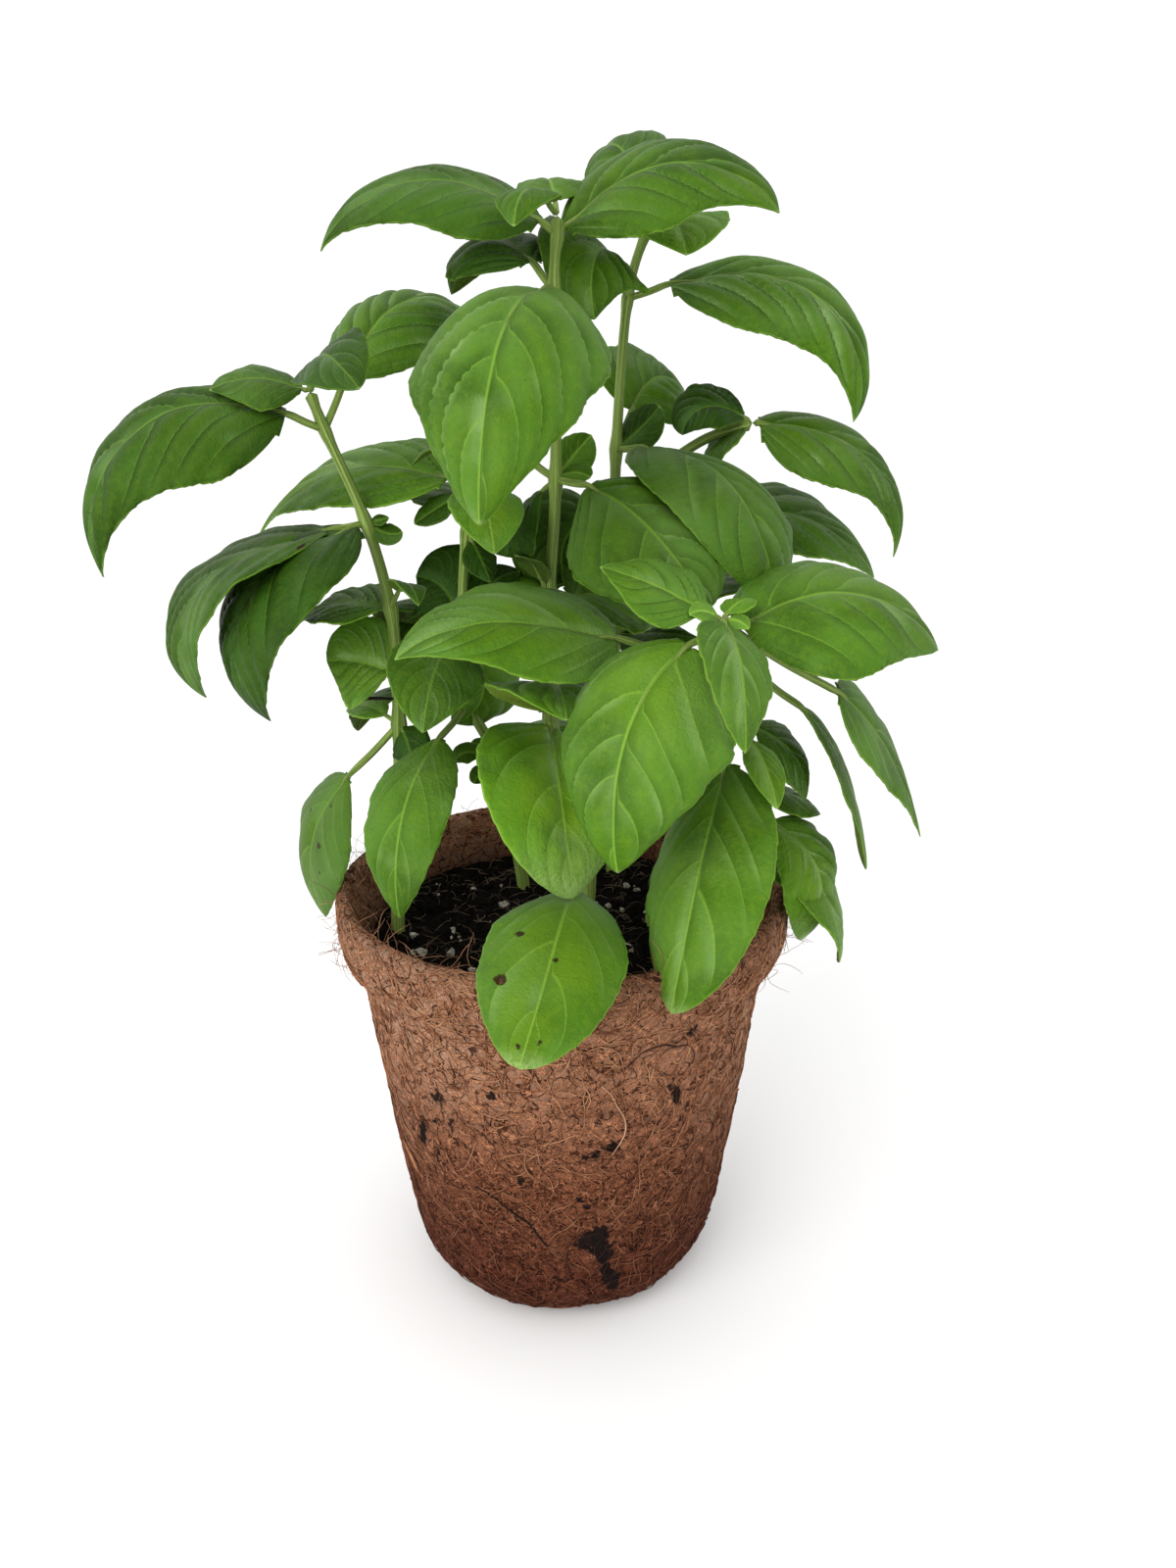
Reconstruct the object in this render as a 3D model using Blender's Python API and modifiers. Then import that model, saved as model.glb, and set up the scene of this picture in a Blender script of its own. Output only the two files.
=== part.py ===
"""A basil plant in a pot of pressed coir fibre: pot, soil and five leafy stems.

Metres, +Z up. The origin is the centre of the pot's flat foot. +Y is the back of the plant.
Every leafy stem grew as one piece, so its stem, petioles and blades are joined into one body.
"""

import math

import bmesh
import bpy
from mathutils import Vector, noise

MM = 0.001
GAP = 0.3 * MM  # free space between two pieces that touch

# Pot of coir fibre: radius and height of the outside, from the lip down to the foot.
SIDES = 36  # of the pot and the soil in it
POT_OUTSIDE = (
    (60.6, 120.6), (62.2, 121.0), (63.4, 119.8), (63.6, 114.0), (63.2, 108.5), (61.2, 103.5),
    (57.8, 99.5), (54.5, 74.0), (51.0, 46.0), (46.8, 18.0), (45.0, 11.0), (41.4, 5.2),
    (36.0, 1.5), (28.5, 0.0),
)
POT_INSIDE = (
    (22.0, 6.5), (34.0, 7.5), (39.5, 12.5), (41.6, 20.0), (46.0, 48.0), (49.4, 75.0),
    (52.4, 98.0), (55.0, 107.0), (58.6, 116.0),
)
POT_LUMP = 0.7  # how far the fibre wall wanders in and out, mm
POT_LUMP_SPAN = 0.022

# Soil: rings of its top, then its side just inside the pot.
SOIL_TOP_Z = 106.0
SOIL_RINGS = (8.0, 18.0, 28.0, 38.0, 47.0)
SOIL_EDGE = 53.4
SOIL_LUMP = 1.6
SOIL_LUMP_SPAN = 0.014
SOIL_DIP = 1.2  # the middle is watered down a little, mm
HOLE_FLOOR_Z = 88.0

# Stems: joints from the hole in the soil upward, mm. Leaves grow in opposite pairs from a joint.
STEM_SIDES = 6
STEM_FOOT_R, STEM_TIP_R, BRANCH_R = 1.9, 1.1, 1.25
STEM_SPAN = 11.0  # length of one piece of stem tube
PETIOLE_SIDES = 4
PETIOLE_R, PETIOLE_THIN = 0.85, 0.6  # at the stem, and at its end as a part of that
SMALL_PETIOLE = 0.75  # a small leaf's petiole is thinner by this
PETIOLE_SINK = 0.16  # part of the blade that the petiole runs into
BLADE_THICK = 0.65
BLADE_BEND = 1.4
BLADE_START = 0.02
BASE_POWER, TIP_POWER = 0.62, 0.84
ROW_CROWD = 0.6
RIB_STEPS = 48
EDGE_WAVE = 0.7
EDGE_WAVES = 2.5
WAVE_STEP = 1.7  # each leaf of a stem waves a little differently
EDGE_TOOTH = 0.03
BIG_LEAF = 30.0
BIG_GRID, SMALL_GRID = (6, 4), (5, 2)

LEFT = ((-47, -6, 108), (-45, -4, 140), (-44, -3, 167), (-44, -2, 181), (-45, 0, 198),
        (-50, 0, 220), (-59, 0, 243), (-62, 0, 252))
INNER_LEFT = ((-13, 25, 108), (-19, 17, 149), (-26, 9, 170), (-27, 8, 193), (-25, 7, 217),
              (-22, 6, 229))
CENTRE = ((6, -4, 108), (7, -3, 124), (-3, 0, 166), (-3, 0, 200), (-1, 0, 231), (-1, -2, 275),
          (0, -4, 287), (0, -4, 291))
BACK = ((15, 38, 108), (15, 34, 150), (15, 30, 185), (15, 28, 212), (15, 28, 237), (18, 36, 276),
        (23, 38, 293))
BACK_BRANCH = ((15, 28, 212), (24, 28, 228), (38, 27, 239), (52, 26, 244))
FRONT = ((26, 2, 108), (30, -2, 128), (37, -8, 150), (46, -16, 172), (50, -22, 185),
         (45, -34, 194), (40, -43, 201), (37, -48, 204))

# Leaves: joint, bearing, rise and droop in degrees, length, width and petiole in mm, roll, cup.
# Bearing 0 is the right side, 90 the back. Roll tilts the blade about its rib, cup bends its
# sides down.
LEAVES = {
    "leafy_stem_left": (LEFT, (), (
        (7, -59, 40, 115, 34, 17, 6, 56, 24),
        (7, 195, 23, 60, 23, 23, 2, -28, 32),
        (6, 196, 19, 136, 79, 46, 9, -27, 45),
        (6, 54, 57, 97, 60, 35, 15, 22, 51),
        (5, 190, -2, 120, 72, 39, 9, -10, 26),
        (5, 207, -7, 134, 72, 50, 3, -7, 27),
        (5, 30, 20, 30, 9, 7, 3, 0, 10),
        (4, 167, 14, 57, 26, 30, 2, -10, 7),
        (4, -67, 31, 80, 21, 9, 12, -15, 1),
        (3, 201, 37, 81, 17, 30, 2, -37, 7),
        (3, 90, 25, 70, 40, 26, 8, 0, 20),
        (2, 152, 25, 65, 14, 11, 5, -15, 13),
        (2, -60, -30, 70, 13, 13, 2, 50, 30),
        (2, 180, -46, 75, 48, 32, 20, -36, 27),
    )),
    "leafy_stem_inner_left": (INNER_LEFT, (), (
        (5, 157, 14, 74, 72, 36, 8, -26, 18),
        (5, -76, -6, 65, 27, 19, 5, -1, 5),
        (4, 165, 5, 35, 10, 10, 12, -20, 15),
        (4, 100, 30, 80, 46, 30, 8, 0, 20),
        (3, -99, -9, 55, 35, 29, 13, -15, 4),
        (3, 125, 15, 90, 40, 28, 8, 0, 20),
        (3, -14, -66, 116, 26, 29, 10, 32, 14),
        (2, -108, -12, 104, 56, 24, 21, 3, 24),
        (2, 150, 10, 90, 40, 26, 10, 0, 20),
        (3, 161, 63, 77, 14, 28, 5, -55, 5),
        (1, 185, 5, 50, 10, 9, 6, 0, 10),
        (1, 150, 45, 60, 11, 8, 7, 0, 10),
        (1, 230, 40, 60, 9, 7, 5, 0, 10),
    )),
    "leafy_stem_centre": (CENTRE, (), (
        (7, -111, 22, 106, 24, 15, 6, -4, 32),
        (7, 99, 43, 60, 20, 17, 6, -4, 20),
        (6, 186, 34, 102, 58, 37, 5, -32, 39),
        (6, 1, 46, 102, 59, 41, 2, 33, 26),
        (5, -103, 0, 98, 85, 53, 7, -5, 60),
        (5, 137, 44, 135, 40, 36, 10, -18, 48),
        (4, -40, -11, 61, 48, 46, 11, 24, 48),
        (4, 175, 35, 90, 34, 24, 8, 0, 20),
        (4, -80, 50, 50, 14, 12, 3, 0, 10),
        (4, 60, 55, 50, 18, 13, 5, 0, 10),
        (3, 103, 20, 100, 44, 32, 8, -5, 25),
        (3, 30, 8, 62, 32, 34, 6, 30, 2),
        (2, -82, -3, 96, 57, 43, 2, -19, 16),
        (2, -83, 51, 94, 44, 36, 6, -4, 9),
        (1, -98, 11, 57, 65, 35, 34, -1, 27),
    )),
    "leafy_stem_back": (BACK, BACK_BRANCH, (
        (6, -72, 12, 89, 27, 31, 6, 5, 2),
        (6, 112, 56, 116, 44, 28, 15, -34, 45),
        (5, -5, 18, 126, 79, 48, 12, 29, 33),
        (5, -107, 34, 165, 38, 32, 12, -35, 20),
        (4, -51, 4, 103, 70, 44, 11, -4, 32),
        (4, 59, 48, 87, 34, 31, 13, 47, 15),
        (3, 5, 16, 79, 64, 37, 21, 28, 16),
        (3, 165, 15, 94, 50, 30, 10, 5, 20),
        (2, 95, 15, 100, 60, 40, 10, 0, 25),
        (2, 0, 34, 75, 54, 34, 14, 0, 20),
        (1, 130, 10, 90, 46, 30, 12, 0, 20),
        (-1, -5, 3, 110, 62, 40, 2, 23, 32),
        (-1, 188, 34, 123, 22, 20, 2, -35, 7),
        (-1, -160, -25, 60, 18, 14, 3, 0, 5),
        (4, -100, 45, 70, 16, 14, 5, 0, 14),
    )),
    "leafy_stem_front": (FRONT, (), (
        (7, 165, 27, 16, 26, 21, 4, -28, 14),
        (7, -85, 1, 98, 39, 18, 3, -24, 24),
        (7, 40, 40, 60, 9, 9, 2, 0, 15),
        (6, 10, 31, 99, 57, 48, 2, 30, 45),
        (6, -138, -16, 107, 64, 45, 10, -12, 40),
        (4, 192, 19, 48, 57, 40, 37, -22, 12),
        (6, 22, -30, 59, 56, 23, 35, 45, 40),
        (4, 34, -36, 60, 61, 17, 16, 38, 23),
        (3, -110, -33, 41, 65, 37, 15, 21, 41),
        (3, -77, -14, 47, 22, 10, 11, -3, 22),
        (2, -17, -24, 116, 41, 33, 21, 17, 27),
        (2, 100, 0, 90, 38, 24, 10, 0, 20),
        (3, -2, -22, 81, 27, 22, 5, 21, 25),
        (2, 12, -3, 54, 22, 20, 17, 9, 31),
        (1, -29, 11, 111, 46, 24, 19, -5, 8),
    )),
}

BLADE_GREEN = (0.13, 0.30, 0.045, 1.0)
COIR_BROWN = (0.36, 0.19, 0.10, 1.0)
SOIL_DARK = (0.02, 0.014, 0.010, 1.0)


def clear_scene():
    for ob in list(bpy.data.objects):
        bpy.data.objects.remove(ob, do_unlink=True)


def new_collection(name):
    made = bpy.data.collections.new(name)
    bpy.context.scene.collection.children.link(made)
    return made


def material(name, colour, roughness):
    made = bpy.data.materials.new(name)
    made.use_nodes = True
    shader = made.node_tree.nodes["Principled BSDF"]
    shader.inputs["Base Color"].default_value = colour
    shader.inputs["Roughness"].default_value = roughness
    return made


def mesh_object(name, bm, collection, surface=None):
    """An object of this mesh, with its normals turned outward."""
    bmesh.ops.recalc_face_normals(bm, faces=bm.faces)
    mesh = bpy.data.meshes.new(name)
    bm.to_mesh(mesh)
    bm.free()
    ob = bpy.data.objects.new(name, mesh)
    collection.objects.link(ob)
    if surface:
        mesh.materials.append(surface)
    return ob


def bake(ob):
    """Applies the object's modifiers."""
    graph = bpy.context.evaluated_depsgraph_get()
    mesh = bpy.data.meshes.new_from_object(ob.evaluated_get(graph))
    ob.modifiers.clear()
    ob.data = mesh


def turned(profile):
    """A profile of (radius, height) in mm turned about the upright axis."""
    bm = bmesh.new()
    verts = [bm.verts.new((r * MM, 0.0, z * MM)) for r, z in profile]
    edges = [bm.edges.new(pair) for pair in zip(verts, verts[1:])]
    bmesh.ops.spin(bm, geom=verts + edges, cent=(0, 0, 0), axis=(0, 0, 1),
                   angle=2 * math.pi, steps=SIDES, use_merge=True)
    bmesh.ops.remove_doubles(bm, verts=bm.verts, dist=0.01 * MM)
    return bm


def make_pot(collection):
    profile = ((0.0, POT_INSIDE[0][1]),) + POT_INSIDE + POT_OUTSIDE + ((0.0, 0.0),)
    bm = turned(profile)
    outer = POT_OUTSIDE[-1][0] * MM
    for v in bm.verts:
        flat = Vector((v.co.x, v.co.y, 0.0))
        wall = flat.length > outer + MM and v.co.z > MM and not inside_pot(flat.length, v.co.z)
        if wall:
            lump = noise.noise(v.co / POT_LUMP_SPAN)
            v.co += flat.normalized() * lump * POT_LUMP * MM
    return mesh_object("coir_pot", bm, collection, material("coir", COIR_BROWN, 0.95))


def inside_pot(radius, height):
    """True for a point of the pot's inner face."""
    return any(abs(radius - r * MM) < GAP and abs(height - z * MM) < GAP for r, z in POT_INSIDE)


def make_soil(collection):
    side = [(r - GAP / MM, z) for r, z in POT_INSIDE if z < SOIL_TOP_Z - 5.0]
    side[0] = (side[0][0], side[0][1] + GAP / MM)
    profile = [(0.0, SOIL_TOP_Z)] + [(r, SOIL_TOP_Z) for r in SOIL_RINGS]
    profile += [(SOIL_EDGE, SOIL_TOP_Z - 1.0)] + side[::-1] + [(0.0, side[0][1])]
    bm = turned(profile)
    for v in bm.verts:
        reach = v.co.xy.length / MM
        if v.co.z > (SOIL_TOP_Z - 0.5) * MM:
            inward = 1.0 - reach / SOIL_EDGE
            lump = noise.noise(v.co / SOIL_LUMP_SPAN) * SOIL_LUMP * min(1.0, 0.3 + 4.0 * inward)
            v.co.z += (lump - SOIL_DIP * inward) * MM
    soil = mesh_object("potting_soil", bm, collection, material("soil", SOIL_DARK, 1.0))
    cutters = new_collection("stem_holes")
    for name, (joints, _, _) in LEAVES.items():
        make_hole(name, joints, cutters)
    combine(soil, "DIFFERENCE", cutters)
    return soil


def make_hole(name, joints, cutters):
    """A round cutter about the foot of a stem, a little wider than the stem."""
    foot = Vector(joints[0]) * MM
    low, high = HOLE_FLOOR_Z * MM, foot.z + 10 * MM
    bm = bmesh.new()
    radius = STEM_FOOT_R * MM + GAP
    bmesh.ops.create_cone(bm, cap_ends=True, segments=10, radius1=radius, radius2=radius,
                          depth=high - low)
    bmesh.ops.translate(bm, verts=bm.verts, vec=(foot.x, foot.y, (high + low) / 2))
    cutter = mesh_object("hole_" + name, bm, cutters)
    cutter.hide_render = True
    cutter.display_type = "WIRE"


def combine(ob, operation, collection):
    """Applies one Boolean of a whole collection, then removes that collection's objects."""
    modifier = ob.modifiers.new("join", "BOOLEAN")
    modifier.operation = operation
    modifier.operand_type = "COLLECTION"
    modifier.collection = collection
    modifier.solver = "MANIFOLD"
    bake(ob)
    for piece in list(collection.objects):
        bpy.data.objects.remove(piece, do_unlink=True)
    bpy.data.collections.remove(collection)


def route(points):
    """A smooth line through the joints, in metres, with the joints kept."""
    ends = [Vector(p) * MM for p in points]
    line = [ends[0]]
    for i in range(len(ends) - 1):
        before = ends[max(i - 1, 0)]
        after = ends[min(i + 2, len(ends) - 1)]
        steps = max(1, round((ends[i + 1] - ends[i]).length / (STEM_SPAN * MM)))
        for k in range(1, steps + 1):
            line.append(spline(before, ends[i], ends[i + 1], after, k / steps))
    return line


def spline(a, b, c, d, t):
    return 0.5 * ((2 * b) + (c - a) * t + (2 * a - 5 * b + 4 * c - d) * t * t
                  + (3 * b - a - 3 * c + d) * t ** 3)


def tube(line, radii, sides):
    """A closed tube along a line."""
    bm = bmesh.new()
    rings = []
    side = Vector((1.0, 0.0, 0.0))
    for i, at in enumerate(line):
        along = (line[min(i + 1, len(line) - 1)] - line[max(i - 1, 0)]).normalized()
        side = (side - along * side.dot(along)).normalized()
        across = along.cross(side)
        ring = []
        for k in range(sides):
            a = 2 * math.pi * k / sides
            out = side * math.cos(a) + across * math.sin(a)
            ring.append(bm.verts.new(at + out * radii[i]))
        rings.append(ring)
    for low, high in zip(rings, rings[1:]):
        for k in range(sides):
            m = (k + 1) % sides
            bm.faces.new((low[k], low[m], high[m], high[k]))
    bm.faces.new(rings[0][::-1])
    bm.faces.new(rings[-1])
    return bm


def along(bearing, pitch):
    a, p = math.radians(bearing), math.radians(pitch)
    return Vector((math.cos(p) * math.cos(a), math.cos(p) * math.sin(a), math.sin(p)))


def rib(start, leaf, steps):
    """Points and frames along the blade's rib: (place, across, up)."""
    _, bearing, rise, droop, length, _, petiole, roll, _ = leaf
    at = start + along(bearing, rise) * petiole * MM
    frames = []
    for i in range(steps + 1):
        t = i / steps
        ahead = along(bearing, rise - droop * t ** BLADE_BEND)
        across = along(bearing + 90, 0)
        up = ahead.cross(across)
        c, s = math.cos(math.radians(roll)), math.sin(math.radians(roll))
        frames.append((at.copy(), across * c + up * s, up * c - across * s))
        middle = (i + 0.5) / steps
        at = at + along(bearing, rise - droop * middle ** BLADE_BEND) * length * MM / steps
    return frames


def half_width(t):
    """Half the blade's width at t of its length, as a part of the widest half width."""
    widest = BASE_POWER / (BASE_POWER + TIP_POWER)
    top = widest ** BASE_POWER * (1 - widest) ** TIP_POWER
    return t ** BASE_POWER * (1 - t) ** TIP_POWER / top


def row_place(t):
    """Rows of a blade lie closer together at its two ends."""
    return t + ROW_CROWD * ((1 - math.cos(math.pi * t)) / 2 - t)


def blade(start, leaf, seed, steps, strips):
    """One blade: a grid laid along the rib, cupped, waved and toothed at the edge."""
    width, cup = leaf[5] * MM, math.radians(max(leaf[8], 1.0))
    frames = rib(start, leaf, RIB_STEPS)
    bm = bmesh.new()
    bmesh.ops.create_grid(bm, x_segments=steps, y_segments=strips, size=1.0)
    for v in bm.verts:
        row = round((v.co.x + 1) / 2 * steps)
        u = v.co.y
        place = row_place(row / steps)
        at, across, up = frames[round(place * RIB_STEPS)]
        t = max(place, BLADE_START)
        w = width / 2 * half_width(t) * (1 + EDGE_TOOTH * (-1) ** row)
        wave = EDGE_WAVE * MM * u * u * math.sin(2 * math.pi * EDGE_WAVES * t + seed + 2 * u)
        wave *= math.sin(math.pi * t)
        v.co = (at + across * (w * math.sin(cup * u) / cup)
                - up * (w * (1 - math.cos(cup * u)) / cup - wave))
    bmesh.ops.remove_doubles(bm, verts=bm.verts, dist=0.02 * MM)
    bmesh.ops.triangulate(bm, faces=bm.faces)
    return bm


def make_blade(name, start, leaf, seed, pieces):
    steps, strips = BIG_GRID if leaf[4] >= BIG_LEAF else SMALL_GRID
    bm = blade(start, leaf, seed, steps, strips)
    ob = mesh_object(name, bm, pieces)
    thick = ob.modifiers.new("thick", "SOLIDIFY")
    thick.thickness = BLADE_THICK * MM
    thick.offset = 0.0
    bake(ob)


def make_petiole(name, start, leaf, pieces):
    length, petiole = leaf[4], leaf[6]
    base = start + along(leaf[1], leaf[2]) * petiole * MM
    end = base + along(leaf[1], leaf[2]) * length * PETIOLE_SINK * MM
    line = [start, base, end]
    radius = PETIOLE_R * MM * (1.0 if length >= BIG_LEAF else SMALL_PETIOLE)
    radii = [radius * (1.0 + (PETIOLE_THIN - 1.0) * i / 2) for i in range(3)]
    mesh_object(name, tube(line, radii, PETIOLE_SIDES), pieces)


def make_stem(name, joints, branch, leaves, collection, green):
    """One leafy stem as one body."""
    pieces = new_collection(name + "_pieces")
    foot = Vector(joints[0]) * MM
    line = [Vector((foot.x, foot.y, HOLE_FLOOR_Z * MM + GAP))] + route(joints)
    count = len(line) - 1
    radii = [(STEM_FOOT_R + (STEM_TIP_R - STEM_FOOT_R) * i / count) * MM for i in range(count + 1)]
    stem = mesh_object(name, tube(line, radii, STEM_SIDES), collection, green)
    if branch:
        twig = route(branch)
        radii = [BRANCH_R * MM] * len(twig)
        mesh_object(name + "_branch", tube(twig, radii, STEM_SIDES), pieces)
    for i, leaf in enumerate(leaves):
        at = Vector(branch[-1] if leaf[0] < 0 else joints[leaf[0]]) * MM
        make_petiole(f"{name}_petiole_{i}", at, leaf, pieces)
        make_blade(f"{name}_blade_{i}", at, leaf, i * WAVE_STEP, pieces)
    combine(stem, "UNION", pieces)
    return stem


def main():
    clear_scene()
    plant = new_collection("potted_basil")
    make_pot(plant)
    make_soil(plant)
    green = material("basil", BLADE_GREEN, 0.5)
    for name, (joints, branch, leaves) in LEAVES.items():
        make_stem(name, joints, branch, leaves, plant, green)


main()
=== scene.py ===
"""A basil plant in a coir fibre pot: its fine leaves, stems, pot and soil, laid over the frame.

Metres, +Z up. The origin is the centre of the pot's foot, and +Y is the back of the plant.
"""

import math
import random
from collections import namedtuple

import bmesh
import bpy
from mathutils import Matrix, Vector, noise


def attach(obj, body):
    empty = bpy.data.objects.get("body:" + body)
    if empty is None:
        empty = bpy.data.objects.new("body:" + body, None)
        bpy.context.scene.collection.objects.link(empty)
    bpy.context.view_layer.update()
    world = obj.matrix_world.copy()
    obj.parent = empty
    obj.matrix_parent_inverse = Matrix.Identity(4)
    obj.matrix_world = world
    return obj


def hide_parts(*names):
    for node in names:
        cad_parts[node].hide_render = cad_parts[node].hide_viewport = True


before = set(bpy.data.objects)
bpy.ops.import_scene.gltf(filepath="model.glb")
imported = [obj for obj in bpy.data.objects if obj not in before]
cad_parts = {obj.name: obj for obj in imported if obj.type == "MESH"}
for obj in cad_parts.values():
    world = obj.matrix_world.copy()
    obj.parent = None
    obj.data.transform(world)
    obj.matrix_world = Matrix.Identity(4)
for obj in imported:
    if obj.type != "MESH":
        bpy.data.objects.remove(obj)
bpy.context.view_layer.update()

MM = 0.001
BODY = "root"
MERGE, FINE_MERGE, FIBRE_MERGE = 0.01, 0.005, 0.0005  # mm: points closer than this become one

# Stems: joints from the soil upward, mm. Leaves grow in opposite pairs from a joint.
LEFT = ((-47, -6, 108), (-45, -4, 140), (-44, -3, 167), (-44, -2, 181), (-45, 0, 198),
        (-50, 0, 220), (-59, 0, 243), (-62, 0, 252))
INNER_LEFT = ((-13, 25, 108), (-19, 17, 149), (-26, 9, 170), (-27, 8, 193), (-25, 7, 217),
              (-22, 6, 229))
CENTRE = ((6, -4, 108), (7, -3, 124), (-3, 0, 166), (-3, 0, 200), (-1, 0, 231), (-1, -2, 275),
          (0, -4, 287), (0, -4, 291))
BACK = ((15, 38, 108), (15, 34, 150), (15, 30, 185), (15, 28, 212), (15, 28, 237), (18, 36, 276),
        (23, 38, 293))
BACK_BRANCH = ((15, 28, 212), (24, 28, 228), (38, 27, 239), (52, 26, 244))
FRONT = ((26, 2, 108), (30, -2, 128), (37, -8, 150), (46, -16, 172), (50, -22, 185),
         (45, -34, 194), (40, -43, 201), (37, -48, 204))

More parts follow.
